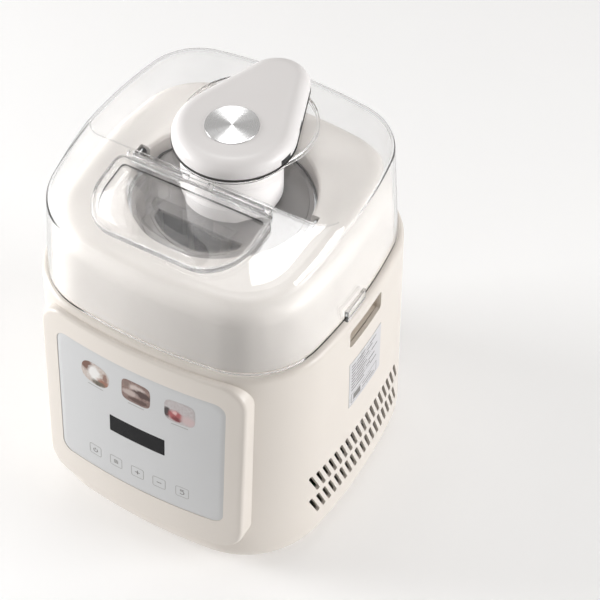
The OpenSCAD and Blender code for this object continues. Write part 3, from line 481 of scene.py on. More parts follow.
def metal(name, tone, stain, gloss=0.25, stretch=(1, 1, 60), streaks=260.0, stainShare=0.2, bump=0.15, depth=0.02,
          centre=None, **fixed):
    # stretch squeezes the pattern so that streaks lie across it; centre makes rings about that point instead
    material, tree, shader = newMaterial(name)
    place = addNode(tree, "ShaderNodeTexCoord").outputs["Object"]
    if centre is None:
        mapping = addNode(tree, "ShaderNodeMapping", {"Scale": stretch})
        tree.links.new(place, mapping.inputs["Vector"])
        vector = mapping.outputs[0]
    else:
        mapping = addNode(tree, "ShaderNodeMapping", {"Location": tuple(-c / 1000 for c in centre)})
        tree.links.new(place, mapping.inputs["Vector"])
        reach = addNode(tree, "ShaderNodeVectorMath", operation="LENGTH")
        flat = addNode(tree, "ShaderNodeVectorMath", operation="MULTIPLY")
        flat.inputs[1].default_value = (1, 1, 0)
        tree.links.new(mapping.outputs[0], flat.inputs[0])
        tree.links.new(flat.outputs[0], reach.inputs[0])
        joined = addNode(tree, "ShaderNodeCombineXYZ")
        tree.links.new(reach.outputs["Value"], joined.inputs[0])
        vector = joined.outputs[0]
    rubbed = addNode(tree, "ShaderNodeGroup")
    rubbed.node_tree = rubbedMetal
    for key, value in (("Tone", linear(tone)), ("Stain", linear(stain)), ("Streaks", streaks),
                       ("Stain Share", stainShare), ("Gloss", gloss)):
        rubbed.inputs[key].default_value = value
    tree.links.new(vector, rubbed.inputs["Vector"])
    tree.links.new(rubbed.outputs["Tone"], shader.inputs["Base Color"])
    tree.links.new(rubbed.outputs["Roughness"], shader.inputs["Roughness"])
    bumpInto(tree, shader, rubbed.outputs["Height"], bump, depth)
    setShader(shader, {"Metallic": 1.0})
    setShader(shader, {key.replace("_", " "): value for key, value in fixed.items()})
    return material


def clearPlastic(name, tint, lampTint, gloss=0.03, ior=1.35, waves=0.03, through=1.0, plain=0.0):
    # see-through plastic with faint flow ripples; lamps shine through it
    material, tree, shader = newMaterial(name)
    place = addNode(tree, "ShaderNodeTexCoord").outputs["Object"]
    ripple = noiseNode(tree, place, 30.0, 2.0)
    paler = linear([min(255, c + 4) for c in tint])
    cast = mixColour(tree, spreadNode(tree, ripple, 0.3, 0.7), linear(tint), paler)
    tree.links.new(cast, shader.inputs["Base Color"])
    setShader(shader, {"Transmission Weight": through, "Roughness": gloss, "IOR": ior, "Metallic": 0.0})
    bumpInto(tree, shader, ripple, waves, 0.3)
    straight = addNode(tree, "ShaderNodeBsdfTransparent", {"Color": linear(lampTint)})
    path = addNode(tree, "ShaderNodeLightPath")
    both = addNode(tree, "ShaderNodeMixShader")
    share = mathNode(tree, "MAXIMUM", path.outputs["Is Shadow Ray"], plain)
    tree.links.new(share, both.inputs[0])
    tree.links.new(shader.outputs[0], both.inputs[1])
    tree.links.new(straight.outputs[0], both.inputs[2])
    tree.links.new(both.outputs[0], tree.nodes["Material Output"].inputs["Surface"])
    return material


# name, tone, gloss and its spread, drift of the tone, grain scale, bump strength and depth in millimetres
creamBody = plastic("creamBody", (226, 219, 211), 0.36, 0.06, 0.012, 1700, 0.16, 0.04)
creamHead = plastic("creamHead", (250, 247, 246), 0.34, 0.05, 0.01, 1700, 0.14, 0.04)
creamRecess = plastic("creamRecess", (224, 216, 206), 0.5, 0.06, 0.03, 1300, 0.3, 0.05)
whiteCover = plastic("whiteCover", (204, 199, 194), 0.42, 0.05, 0.012, 1500, 0.15, 0.04)
silverFilm = plastic("silverFilm", (205, 206, 207), 0.42, 0.04, 0.012, 2600, 0.2, 0.03, Metallic=0.15)
blackWindow = plastic("blackWindow", (24, 24, 26), 0.2, 0.03, 0.2, 2400, 0.03, 0.02, Specular_IOR_Level=0.1)
darkPlastic = plastic("darkPlastic", (44, 44, 46), 0.5, 0.08, 0.1, 1200, 0.4, 0.06, dust=0.25)
rubberBlack = plastic("rubberBlack", (36, 36, 37), 0.78, 0.08, 0.12, 900, 0.5, 0.08, dust=0.2)
rubberGrey = plastic("rubberGrey", (120, 119, 117), 0.7, 0.08, 0.08, 900, 0.5, 0.08)
panPaint = plastic("panPaint", (66, 67, 70), 0.55, 0.1, 0.1, 700, 0.5, 0.08, dust=0.5)
compressorPaint = plastic("compressorPaint", (26, 26, 28), 0.33, 0.12, 0.2, 500, 0.35, 0.1, dust=0.35)
boardGreen = plastic("boardGreen", (28, 88, 52), 0.38, 0.1, 0.25, 420, 0.5, 0.1)
foamYellow = plastic("foamYellow", (222, 208, 162), 0.9, 0.05, 0.1, 260, 0.9, 0.4)
labelWhite = plastic("labelWhite", (206, 205, 208), 0.3, 0.05, 0.01, 2200, 0.1, 0.02)
nylonWhite = plastic("nylonWhite", (226, 226, 220), 0.44, 0.07, 0.03, 900, 0.25, 0.05, Subsurface_Weight=0.1)
inkGrey = plastic("inkGrey", (128, 126, 124), 0.5, 0.05, 0.08, 1600, 0.05, 0.01)
inkPale = plastic("inkPale", (168, 167, 166), 0.5, 0.05, 0.06, 1600, 0.05, 0.01)
steelBowl = metal("steelBowl", (205, 206, 208), (150, 150, 152), gloss=0.26, stretch=(1, 1, 45), streaks=60.0,
                  stainShare=0.25)
zincScrew = metal("zincScrew", (186, 187, 188), (110, 110, 108), gloss=0.34, stretch=(1, 1, 1), streaks=700.0,
                  stainShare=0.4)
aluminium = metal("aluminium", (200, 202, 205), (140, 142, 145), gloss=0.36, stretch=(8, 1, 1), streaks=120.0,
                  stainShare=0.3, bump=0.3)
copperTube = metal("copperTube", (196, 122, 78), (104, 62, 42), gloss=0.32, stretch=(1, 1, 1), streaks=300.0,
                   stainShare=0.55, bump=0.2)
bronzeBush = metal("bronzeBush", (176, 138, 84), (104, 80, 48), gloss=0.4, stretch=(1, 1, 30), streaks=160.0,
                   stainShare=0.4)
discBox = nodeBox("metal_disc")
discCentre = ((discBox[0][0] + discBox[1][0]) / 2, (discBox[0][1] + discBox[1][1]) / 2)
spunDisc = metal("spunDisc", (240, 240, 240), (200, 200, 200), gloss=0.27, streaks=900.0, stainShare=0.08,
                 centre=(discCentre[0], discCentre[1], 0), bump=0.05, depth=0.02, Anisotropic=0.95,
                 Anisotropic_Rotation=0.25)
clearLid = clearPlastic("clearLid", (250, 250, 250), (252, 252, 252), gloss=0.02, ior=1.4)
clearFlap = clearPlastic("clearFlap", (250, 250, 250), (250, 250, 250), gloss=0.03, ior=1.36, plain=0.25)
greyClear = clearPlastic("greyClear", (168, 164, 162), (225, 224, 222), gloss=0.14, ior=1.4, waves=0.1,
                         through=0.45)
print("stage: materials are mixed")


# body shell

bodyLook = {
    "footA": 120.0, "footB": 122.8, "rimA": 116.4, "rimB": 113.7,
    "bowFoot": 440.0, "bowRim": 408.0, "cornerFoot": 71.0, "cornerRim": 64.0,
    "footRound": 22.0, "rimRound": (5.0, 6.0), "wall": 3.0,
    "ventCount": 18, "ventPitch": 7.3, "ventStart": -64.6, "ventRows": (51.8, 78.6),
    "ventWidth": 3.6, "ventLength": 20.0, "ventLean": 22.0,
    "mouth": ([100.0], [98.0], 380.0, 56.0), "mouthDepth": 4.2,
}
# openings cut through the wall: half size, corner radius and middle, each seen along the cut
wallCuts = {
    "grip": ((23, 8.5), 3.0, (0, 198.5)), "rear": ((58, 40), 8, (0, 64)), "inlet": ((7.5, 7.5), 7.49, (-88, 52)),
    "front": ((25, 15), 3, (0, 128)),
}
shellBox = nodeBox("outer_shell")
footZ, deckZ = shellBox[0][2], shellBox[1][2]
wallLow, wallHigh = footZ + bodyLook["footRound"], deckZ - bodyLook["rimRound"][1]


def wallPlan(z):
    # half width, half depth, bow and corner radius of the wall at height z
    look = bodyLook
    t = (z - wallLow) / (wallHigh - wallLow)
    return [look[foot] + (look[rim] - look[foot]) * t for foot, rim in (
        ("footA", "rimA"), ("footB", "rimB"), ("bowFoot", "bowRim"), ("cornerFoot", "cornerRim"))]


def bodyLoops(z, inset, **density):
    # plan of the wall at each height, its foot rounded in by a quarter circle, all moved in by inset
    foot = bodyLook["footRound"]
    drop = np.clip(wallLow - z, 0, foot)
    inset = inset + foot - np.sqrt(foot ** 2 - drop ** 2)
    return squircle(*[size - inset for size in wallPlan(z)], **density)


def bodyFront(x, z):
    # distance of the wall's front face ahead of the axis at x and height z: front arc, then corner arc
    a, b, bow, rc = wallPlan(z)
    p, q, kx, ky = arcCentres(a, b, bow, rc)
    edge = bow * np.cos(np.arctan2(ky + q, kx))
    x = np.abs(x)
    return np.where(x <= edge, -q + np.sqrt(bow ** 2 - x ** 2),
                    ky + np.sqrt(np.clip(rc ** 2 - (x - kx) ** 2, 0, None)))


def ventCutter(name, side):
    # capsule outlines leaning towards the front, carried sideways through one wall
    look = bodyLook
    t = np.linspace(0, 2 * np.pi, 20, endpoint=False)
    v = look["ventWidth"] / 2 * np.sin(t) + np.where(np.sin(t) >= 0, 0.5, -0.5) * look["ventLength"]
    u = look["ventWidth"] / 2 * np.cos(t)
    lean = math.radians(look["ventLean"])
    y, z = u * math.cos(lean) - v * math.sin(lean), u * math.sin(lean) + v * math.cos(lean)
    centres = [(look["ventStart"] + k * look["ventPitch"], row) for row in look["ventRows"]
               for k in range(look["ventCount"])]
    parts = [prismPart(np.stack([y + cy, z + cz], axis=-1), side * 95, side * 135, axis=0) for cy, cz in centres]
    return makePiece(name, parts)


def makeBody():
    look = bodyLook
    g = np.linspace(0, np.pi / 2, 13)
    lowZ = wallLow - look["footRound"] * np.cos(g)
    midZ = np.linspace(wallLow, wallHigh, 48)[1:]
    dense = {"side": 26, "bend": 26}
    outer = atHeight(bodyLoops(np.concatenate([lowZ, midZ]), 0, **dense), np.concatenate([lowZ, midZ])[:, None])
    k = np.linspace(0, np.pi / 2, 8)[1:]
    top = atHeight(bodyLoops(np.full(7, wallHigh), look["rimRound"][0] * (1 - np.cos(k)), **dense),
                   (wallHigh + look["rimRound"][1] * np.sin(k))[:, None])
    hole = squircle(*look["mouth"], **dense)
    throatZ = deckZ - look["mouthDepth"]
    throat = np.concatenate([atHeight(hole, deckZ), atHeight(hole, throatZ)])
    innerZ = np.concatenate([[throatZ], midZ[::-1][1:], lowZ[::-1]])
    inner = atHeight(bodyLoops(innerZ, look["wall"], **dense), innerZ[:, None])
    shell = makePiece("bodyShell", [gridPart(np.concatenate([outer, top, throat, inner]), ringRows=True)])
    boxes = [prismPart(roundedBox(*wallCuts["grip"]), s * 96, s * 135, axis=0) for s in (-1, 1)]
    rear = prismPart(roundedBox(*wallCuts["rear"]), 90, 150, axis=1)
    inlet = prismPart(roundedBox(*wallCuts["inlet"], steps=10), 95, 140, axis=1)
    front = prismPart(roundedBox(*wallCuts["front"]), -140, -97, axis=1)
    return carve(shell, [ventCutter("leftVents", -1), ventCutter("rightVents", 1),
                         makePiece("openings", boxes + [rear, inlet, front])])


bodyShell = settle(makeBody(), "machine", "cream_body", creamBody, "outer_shell")
softEdges(bodyShell, 0.35, 2, 50)
print("stage: body shell is made,", len(bodyShell.data.polygons), "faces")


# front bezel, film and display

panelLook = {
    "bezelHalf": 84.6, "bezelCorner": 20.0, "bezelRound": 2.6, "filmFloor": -1.35,
    "filmHalf": 70.0, "filmLow": 67.5, "filmHigh": 193.5, "filmCorner": 9.0,
    "bow": 430.0, "ahead": 117.9, "lean": 0.071, "displayHalf": 23.4, "displayLow": 119.3,
    "displayHigh": 136.3,
}
bezelBox = nodeBox("front_bezel")


def onPanel(x, z, lift):
    # a point of the bowed, leaning front face, lifted outwards
    look = panelLook
    y = look["bow"] - look["ahead"] - np.sqrt((look["bow"] + lift) ** 2 - x ** 2) + look["lean"] * (z - deckZ)
    return np.stack([x + 0 * y, y, z + 0 * y], axis=-1)


def frameLine(half, low, high, radius, steps=14, flats=10):
    # rounded rectangle with evenly filled sides, starting at the right side
    corners = roundedBox((half, (high - low) / 2), radius, (0, (high + low) / 2), steps)
    rest = np.roll(corners, -1, axis=0)
    ends = np.arange(steps - 1, 4 * steps, steps)
    rows = []
    for k in range(4):
        block = corners[k * steps:(k + 1) * steps]
        t = np.linspace(0, 1, flats + 2)[1:-1, None]
        rows += [block, block[-1] * (1 - t) + rest[ends[k]] * t]
    return np.vstack(rows)


def makeBezel():
    look = panelLook
    low, high = bezelBox[0][2], bezelBox[1][2]
    rows = []

    def ring(inset, depth, sink=0.0):
        line = frameLine(look["bezelHalf"] - inset, low + inset, high - inset, look["bezelCorner"] - inset)
        points = onPanel(*line.T, -depth)
        if sink:
            points[:, 1] = -bodyFront(*line.T) + sink
        return points

    rows.append(ring(2.0, 0, 1.2))
    rows.append(ring(0.0, 0, 0.8))
    blend = ring(0.0, 0, 0.8)
    front = ring(0.0, look["bezelRound"])
    rows += [blend * (1 - t) + front * t for t in (0.35, 0.7)]
    for g in np.linspace(0, np.pi / 2, 7):
        rows.append(ring(look["bezelRound"] * (1 - np.cos(g)), look["bezelRound"] * (1 - np.sin(g))))
    wide = frameLine(look["bezelHalf"] - look["bezelRound"], low + look["bezelRound"], high - look["bezelRound"],
                     look["bezelCorner"] - look["bezelRound"])
    film = frameLine(look["filmHalf"] + 0.1, look["filmLow"] - 0.1, look["filmHigh"] + 0.1, look["filmCorner"])
    for t in np.linspace(0, 1, 6)[1:]:
        line = wide * (1 - t) + film * t
        rows.append(onPanel(*line.T, 0.0))
    rows.append(onPanel(*film.T, look["filmFloor"]))
    middle = np.array([0, (look["filmLow"] + look["filmHigh"]) / 2])
    for t in (0.75, 0.5, 0.3):
        line = middle + (film - middle) * t
        rows.append(onPanel(*line.T, look["filmFloor"]))
    line = frameLine(25.0, 113.0, 143.0, 2.0)
    rows.append(onPanel(*line.T, look["filmFloor"]))
    rows.append(onPanel(*line.T, -4.0))
    back = frameLine(look["bezelHalf"] - 2.0, low + 2.0, high - 2.0, look["bezelCorner"] - 2.0)
    for t in (0.0, 0.5):
        inner = line * (1 - t) + back * t
        points = onPanel(*inner.T, 0)
        points[:, 1] = np.maximum(-bodyFront(*inner.T) + 1.2, points[:, 1] + 1.9)
        rows.append(points)
    return makePiece("bezelFrame", [gridPart(np.stack(rows), ringRows=True)], angle=40)


def makeFilm():
    look = panelLook
    outer = frameLine(look["filmHalf"], look["filmLow"], look["filmHigh"], look["filmCorner"])
    hole = frameLine(look["displayHalf"], look["displayLow"], look["displayHigh"], 0.8)
    rows = [onPanel(*outer.T, -1.25)]
    rows.append(onPanel(*outer.T, -0.42))
    for t in np.linspace(0.004, 1, 12):
        line = outer * (1 - t) + hole * t
        rows.append(onPanel(*line.T, -0.3))
    rows.append(onPanel(*hole.T, -1.25))
    return makePiece("controlFilm", [gridPart(np.stack(rows), ringRows=True)], angle=40)


def makeWindow():
    look = panelLook
    line = frameLine(look["displayHalf"] - 0.1, look["displayLow"] + 0.1, look["displayHigh"] - 0.1, 0.8)
    middle = np.array([0, (look["displayLow"] + look["displayHigh"]) / 2])
    rows = [onPanel(*(middle + (line - middle) * t).T, -1.3) for t in (0.02, 0.5, 1.0)]
    rows += [onPanel(*(middle + (line - middle) * t).T, -0.36) for t in (1.0, 0.6, 0.3, 0.02)]
    return makePiece("displayGlass", [gridPart(np.stack(rows), capFirst=True, capLast=True)], angle=40)


settle(makeBezel(), "machine", "cream_body", creamBody, "front_bezel")
settle(makeFilm(), "machine", "silver_film", silverFilm, "panel_membrane")
settle(makeWindow(), "machine", "black_window", blackWindow, "display_window")
print("stage: bezel, film and display are made")


# printed art on the film: thin inked strokes and three small pictures

artLook = {
    "keys": (-38.0, -19.0, 0.0, 18.5, 37.6), "keyHeight": 86.5, "keyHalf": 5.2, "keyCorner": 1.5, "line": 0.5,
    "glyphLine": 0.75,
    "pictures": ((-35.1, 170.5, 12.3, 10.4), (0.1, 172.3, 11.9, 10.8), (35.4, 171.0, 12.0, 10.9)),
}
inkRows = [
    # name, ground, flecks, then blots: offset, reach, softness, stretch, tone
    ("coneInk", (206, 200, 196), (186, 170, 160), [
        ((-8, 7), 5.5, 1.4, (1, 0.8), (112, 76, 62)),
        ((-1, 1), 5.0, 1.2, (1, 0.8), (232, 230, 228)),
        ((7, -5), 3.4, 1.2, (0.7, 1), (150, 100, 78)),
        ((3, -8), 2.6, 1.0, (0.5, 1), (92, 84, 70)),
        ((9, 1), 2.0, 0.8, (1, 0.5), (138, 106, 92)),
    ]),
    ("cocoaInk", (150, 126, 118), (112, 86, 78), [
        ((1, 5), 3.6, 1.2, (0.6, 1.2), (198, 184, 178)),
        ((5, 1), 4.6, 1.0, (0.6, 1.4), (70, 44, 38)),
        ((-5, -2), 3.8, 1.4, (0.6, 1.3), (186, 170, 164)),
        ((2, -7), 3.4, 0.9, (0.4, 1.5), (84, 58, 50)),
        ((-8, 6), 2.6, 1.0, (1, 1), (128, 108, 100)),
    ]),
    ("berryInk", (198, 194, 194), (184, 174, 174), [
        ((-10, -3), 3.4, 0.8, (1.2, 0.7), (58, 46, 46)),
        ((-3, -4), 4.8, 1.2, (0.8, 1), (172, 84, 86)),
        ((-2, -7), 2.6, 0.9, (0.7, 1.2), (120, 36, 42)),
        ((-4, -1), 1.8, 0.8, (1, 1), (222, 180, 178)),
        ((7, -5), 4.6, 1.8, (0.8, 1), (206, 184, 184)),
    ]),
]


def strokePart(path, width, closed=False, low=-0.29, high=-0.24):
    # a thin band of ink along a flat path: the path moved left and right by half its width
    path = np.asarray(path, float)
    if closed:
        along = np.roll(path, -1, axis=0) - np.roll(path, 1, axis=0)
    else:
        along = np.gradient(path, axis=0)
    along = along / np.linalg.norm(along, axis=1, keepdims=True)
    across = np.stack([-along[:, 1], along[:, 0]], axis=1) * width / 2
    left, right = path + across, path - across
    points = np.stack([onPanel(*left.T, high), onPanel(*right.T, high), onPanel(*right.T, low),
                       onPanel(*left.T, low)], axis=1)
    return gridPart(points, ringRows=closed, capFirst=not closed, capLast=not closed)


def printed(name, parts, ink):
    settle(makePiece(name, parts, angle=50), "machine", "silver_film", ink)


def arcPath(centre, radius, start, end, steps=24):
    t = np.radians(np.linspace(start, end, steps))
    return np.stack([centre[0] + radius * np.cos(t), centre[1] + radius * np.sin(t)], axis=1)


def makeKeys():
    look = artLook
    z = look["keyHeight"]
    frames = [strokePart(roundedBox((look["keyHalf"],) * 2, look["keyCorner"], (x, z), 6), look["line"], True)
              for x in look["keys"]]
    x0, x1, x2, x3, x4 = look["keys"]
    w = look["glyphLine"]
    marks = [
        strokePart(arcPath((x0, z - 0.2), 1.8, 130, 410), w), strokePart([(x0, z + 0.4), (x0, z + 2.3)], w),
        strokePart([(x1 - 1.9, z + 1.4), (x1 + 1.9, z + 1.4)], w), strokePart([(x1 - 1.9, z), (x1 + 1.9, z)], w),
        strokePart([(x1 - 1.9, z - 1.4), (x1 + 1.9, z - 1.4)], w),
        strokePart([(x2 - 2.0, z), (x2 + 2.0, z)], w), strokePart([(x2, z - 2.0), (x2, z + 2.0)], w, low=-0.285),
        strokePart([(x3 - 2.0, z), (x3 + 2.0, z)], w),
        strokePart(arcPath((x4 - 0.2, z - 0.6), 1.7, -150, 90), w),
        strokePart([(x4 - 0.2, z + 1.1), (x4 - 1.5, z + 1.1), (x4 - 1.5, z + 2.3), (x4 + 1.6, z + 2.3)], w),
    ]
    printed("keyFrames", frames, inkPale)
    printed("keyMarks", marks, inkGrey)
    bars = []
    for x, zc, hx, hz in look["pictures"]:
        bars.append(strokePart([(x - hx * 0.55, zc - hz - 2.4), (x + hx * 0.55, zc - hz - 2.4)], 0.8))
    printed("pictureRules", bars, inkPale)


def blotMask(tree, place, centre, reach, soft, stretch=(1, 1), wobble=0.9):
    # 1 inside an uneven blot about a point of the film, in millimetres, falling to 0 over its soft edge
    shift = addNode(tree, "ShaderNodeMapping", {"Location": (-centre[0] * stretch[0], 0, -centre[1] * stretch[1]),
                                                "Scale": (1000 * stretch[0], 0, 1000 * stretch[1])})
    tree.links.new(place, shift.inputs["Vector"])
    far = addNode(tree, "ShaderNodeVectorMath", operation="LENGTH")
    tree.links.new(shift.outputs[0], far.inputs[0])
    uneven = spreadNode(tree, noiseNode(tree, place, 320.0, 4.0, 0.6), 0.3, 0.7, -wobble, wobble)
    return spreadNode(tree, mathNode(tree, "ADD", far.outputs["Value"], uneven), reach + soft, reach - soft)


def pictureInk(middle, name, ground, fleck, blots):
    # a small painted scene: a flecked ground, then soft blots of tone laid over it in order about its middle
    material, tree, shader = newMaterial(name)
    place = addNode(tree, "ShaderNodeTexCoord").outputs["Object"]
    grainy = noiseNode(tree, place, 420.0, 5.0, 0.7)
    shown = mixColour(tree, spreadNode(tree, grainy, 0.35, 0.65), linear(ground), linear(fleck))
    for offset, reach, soft, stretch, tone in blots:
        centre = (middle[0] + offset[0], middle[1] + offset[1])
        shown = mixColour(tree, blotMask(tree, place, centre, reach, soft, stretch), shown, linear(tone))
    tree.links.new(shown, shader.inputs["Base Color"])
    setShader(shader, {"Roughness": 0.4})
    bumpInto(tree, shader, grainy, 0.05, 0.02)
    return material


def picturePart(centre, half, power, lean=0.0, low=-0.29, high=-0.23):
    # a superellipse filled by shrinking copies of its rim, a face in front and one behind
    t = np.linspace(0, 2 * np.pi, 64, endpoint=False)
    x = np.sign(np.cos(t)) * np.abs(np.cos(t)) ** (2 / power) * half[0]
    z = np.sign(np.sin(t)) * np.abs(np.sin(t)) ** (2 / power) * half[1]
    x, z = x * math.cos(lean) - z * math.sin(lean), x * math.sin(lean) + z * math.cos(lean)
    rows = [onPanel(centre[0] + x * s, centre[1] + z * s, low) for s in (0.02, 0.5, 1.0)]
    rows += [onPanel(centre[0] + x * s, centre[1] + z * s, high) for s in (1.0, 0.75, 0.5, 0.25, 0.02)]
    return gridPart(np.stack(rows), capFirst=True, capLast=True)


def makePictures():
    spots = artLook["pictures"]
    inks = [pictureInk(spot[:2], *row) for spot, row in zip(spots, inkRows)]
    shapes = [(2.5, -0.1, 1.0), (4.6, -0.02, 1.0), (4.0, 0.0, 1.0)]
    for k, ((x, z, hx, hz), ink, (power, lean, thin)) in enumerate(zip(spots, inks, shapes)):
        printed("pictureMark" + str(k + 1), [picturePart((x, z), (hx, hz * thin), power, lean)], ink)


makeKeys()
makePictures()
print("stage: printed art is on the film")


# white cover around the bowl

coverLook = {
    "halfX": 108.0, "halfY": 107.0, "bow": 400.0, "corner": 58.0, "edgeRound": 16.0, "lean": 3.6, "wall": 2.5,
    "mouth": 66.3, "lip": 2.6, "crest": 272.0, "mouthTop": 270.0, "bossOuter": 10.5, "bossInner": 7.5,
    "skirtFoot": 256.4,
}
postCentre = nodeBox("power_post")
postY = (postCentre[0][1] + postCentre[1][1]) / 2


def coverRow(inset, z, **dense):
    look = coverLook
    return atHeight(squircle(look["halfX"] - inset, look["halfY"] - inset, look["bow"] - inset,
                             look["corner"] - inset, **dense), np.atleast_1d(z)[:, None])


def roundRow(like, radius, z):
    # a circle whose points look the same way as the points of a squircle row
    far = np.linalg.norm(like, axis=-1, keepdims=True)
    return atHeight(like / far * radius, z)


def makeCover():
    look = coverLook
    dense = {"side": 20, "bend": 24}
    t = look["wall"]
    turnZ = look["crest"] - look["edgeRound"]
    g = np.linspace(0, np.pi / 2, 14)
    base = squircle([look["halfX"]], [look["halfY"]], look["bow"], look["corner"], **dense)
    wallZ = np.linspace(deckZ, turnZ, 8)[:-1]
    wall = coverRow(look["lean"] * np.linspace(0, 1, 8)[:-1], wallZ, **dense)
    bend = coverRow(look["lean"] + look["edgeRound"] * (1 - np.cos(g)),
                    turnZ + look["edgeRound"] * np.sin(g), **dense)
    rim = roundRow(base, look["mouth"] + look["lip"], look["mouthTop"])
    top = np.concatenate([bend[-1:] * (1 - s) + rim * s for s in np.linspace(0, 1, 12)[1:-1]])
    top[..., 2] = look["crest"] - (look["crest"] - look["mouthTop"]) * ease(np.linspace(0, 1, 12)[1:-1])[:, None]
    k = np.linspace(0, np.pi / 2, 7)
    lip = np.concatenate([roundRow(base, look["mouth"] + look["lip"] * (1 - math.sin(v)),
                                   look["mouthTop"] - look["lip"] * (1 - math.cos(v))) for v in k])
    low = look["skirtFoot"]
    skirt = np.concatenate([roundRow(base, look["mouth"], z) for z in (264.0, 260.0, low)]
                           + [roundRow(base, look["mouth"] + 2.7, z) for z in (low, 260.0, 266.0)])
    under = roundRow(base, look["mouth"] + 4.5, look["mouthTop"] - t)
    innerBend = coverRow(look["lean"] + t + (look["edgeRound"] - t) * (1 - np.cos(g[::-1])),
                         turnZ + (look["edgeRound"] - t) * np.sin(g[::-1]), **dense)
    innerTop = np.concatenate([under * (1 - s) + innerBend[:1] * s for s in (0.0, 0.35, 0.7)])
    innerWall = coverRow(look["lean"] * np.array([0.5, 0.0]) + t, np.array([(deckZ + turnZ) / 2, deckZ]), **dense)
    rows = np.concatenate([wall, bend, top, lip, skirt, innerTop, innerBend, innerWall])
    cover = makePiece("whiteCoverShell", [gridPart(rows, ringRows=True)])
    ears = [prismPart(roundedBox((11.6, 8.5), 1.5, (s * 61.4, 0)), 255.3, 290) for s in (-1, 1)]
    hole = lathePart([(look["bossInner"], 250), (look["bossInner"], 290)], (0, postY), 64)
    return carve(cover, [makePiece("coverOpenings", ears + [hole])])


def makeBoss():
    look = coverLook
    r0, r1, top = look["bossInner"], look["bossOuter"], look["mouthTop"] + 3
    profile = [(r0, 262), (r1, 262), (r1, top - 1.2), (r1 - 0.35, top - 0.35), (r1 - 1.2, top), (r0 + 0.8, top),
               (r0, top - 0.8)]
    return makePiece("coverBoss", [lathePart(profile, (0, postY), 72, ring=True)], angle=50)


settle(makeCover(), "machine", "white_cover", whiteCover, "top_cover")
settle(makeBoss(), "machine", "white_cover", whiteCover)
print("stage: white cover is made")


# clear lid

lidLook = {
    "footA": 111.4, "footB": 110.3, "topA": 104.6, "topB": 105.0, "bowFoot": 408.0, "bowTop": 345.0,
    "cornerFoot": 60.0, "cornerTop": 46.0, "round": 9.0, "wall": 2.4, "slopeStart": -24.0, "slope": 8.7,
    "crease": 1.2, "creaseHalf": 84.0, "creaseCorner": 16.0, "creaseBead": 0.55,
    "motorRadius": 36.5, "motorY": 13.0, "postRadius": 9.7,
    "flapOutline": (61.0, -33.0, -94.0, 8.0, 31.0, 36.0), "flapRest": 4.5,
}
lidBox = nodeBox("lid_shell")
lidFoot, lidTop = lidBox[0][2], lidBox[1][2]


def creaseY(x):
    # where the flat top ends: straight across, then curving back near each side by a quarter circle
    look = lidLook
    s = np.clip((np.abs(x) - look["creaseHalf"]) / look["creaseCorner"], 0, 0.98)
    return look["slopeStart"] + look["creaseCorner"] * (1 - np.sqrt(1 - s ** 2))


def lidHeight(x, y):
    # flat top that falls forwards past the crease, the two planes joined by a soft bend
    look = lidLook
    past = creaseY(x) - y
    return lidTop - math.tan(math.radians(look["slope"])) * (past + np.sqrt(past ** 2 + look["crease"] ** 2)) / 2


def lidLoops(t, inset, **dense):
    look = lidLook
    pairs = (("footA", "topA"), ("footB", "topB"), ("bowFoot", "bowTop"), ("cornerFoot", "cornerTop"))
    return squircle(*[look[foot] + (look[top] - look[foot]) * t - inset for foot, top in pairs], **dense)


def lidSkin(inset, low):
    # wall that leans in, round shoulder that follows the falling top, then the top itself to its middle
    look = lidLook
    dense = {"side": 16, "bend": 22}
    bend = look["round"] - inset
    foot, shoulder = lidLoops(0.0, inset, **dense), lidLoops(1.0, inset, **dense)
    full = lidTop - look["round"] - lidFoot
    reach = lidHeight(shoulder[..., 0], shoulder[..., 1]) - look["round"]
    rise = (reach - lidFoot) / full
    s = np.linspace(0, 1, 10)[:-1, None, None]
    z = low + (reach - low) * s[..., 0]
    share = np.clip((z - lidFoot) / full, 0, None)[..., None]
    wall = atHeight(foot * (1 - share) + shoulder * share, z)
    edge = foot * (1 - rise[..., None]) + shoulder * rise[..., None]
    g = np.linspace(0, np.pi / 2, 10)
    tops = lidLoops(np.full(10, 1.0), inset + bend * (1 - np.cos(g)), **dense)
    tops = tops + (edge - shoulder)
    crown = atHeight(tops, lidHeight(tops[..., 0], tops[..., 1]) - look["round"] + bend * np.sin(g)[:, None])
    k = np.concatenate([np.linspace(1, 0.3, 22)[1:], [0.02]])[:, None, None]
    flat = tops[-1:] * k
    plate = atHeight(flat, lidHeight(flat[..., 0], flat[..., 1]) - inset)
    return np.concatenate([wall, crown, plate])


def flapLine(inset):
    # half-round outline: straight rear edge with small corners, wide elliptical front corners
    a, y0, y1, r0, rx, ry = lidLook["flapOutline"]
    t = np.radians(np.linspace(0, 90, 14))
    v = np.radians(np.linspace(0, 90, 26))
    back = [(a - r0 + (r0 - inset) * np.cos(t), y0 - r0 + (r0 - inset) * np.sin(t)),
            (r0 - a + (r0 - inset) * np.cos(t + np.pi / 2), y0 - r0 + (r0 - inset) * np.sin(t + np.pi / 2))]
    ahead = [(rx - a + (rx - inset) * np.cos(v + np.pi), y1 + ry + (ry - inset) * np.sin(v + np.pi)),
             (a - rx + (rx - inset) * np.cos(v + 1.5 * np.pi), y1 + ry + (ry - inset) * np.sin(v + 1.5 * np.pi))]
    return np.vstack([np.stack(pair, axis=1) for pair in back + ahead])


def onSlope(plan, height):
    # a point drawn flat is laid on the sloping front part of the lid
    s = math.radians(lidLook["slope"])
    dy = plan[:, 1] - lidLook["slopeStart"]
    return np.stack([plan[:, 0], lidLook["slopeStart"] + dy * math.cos(s) - height * math.sin(s),
                     lidTop + dy * math.sin(s) + height * math.cos(s)], axis=1)


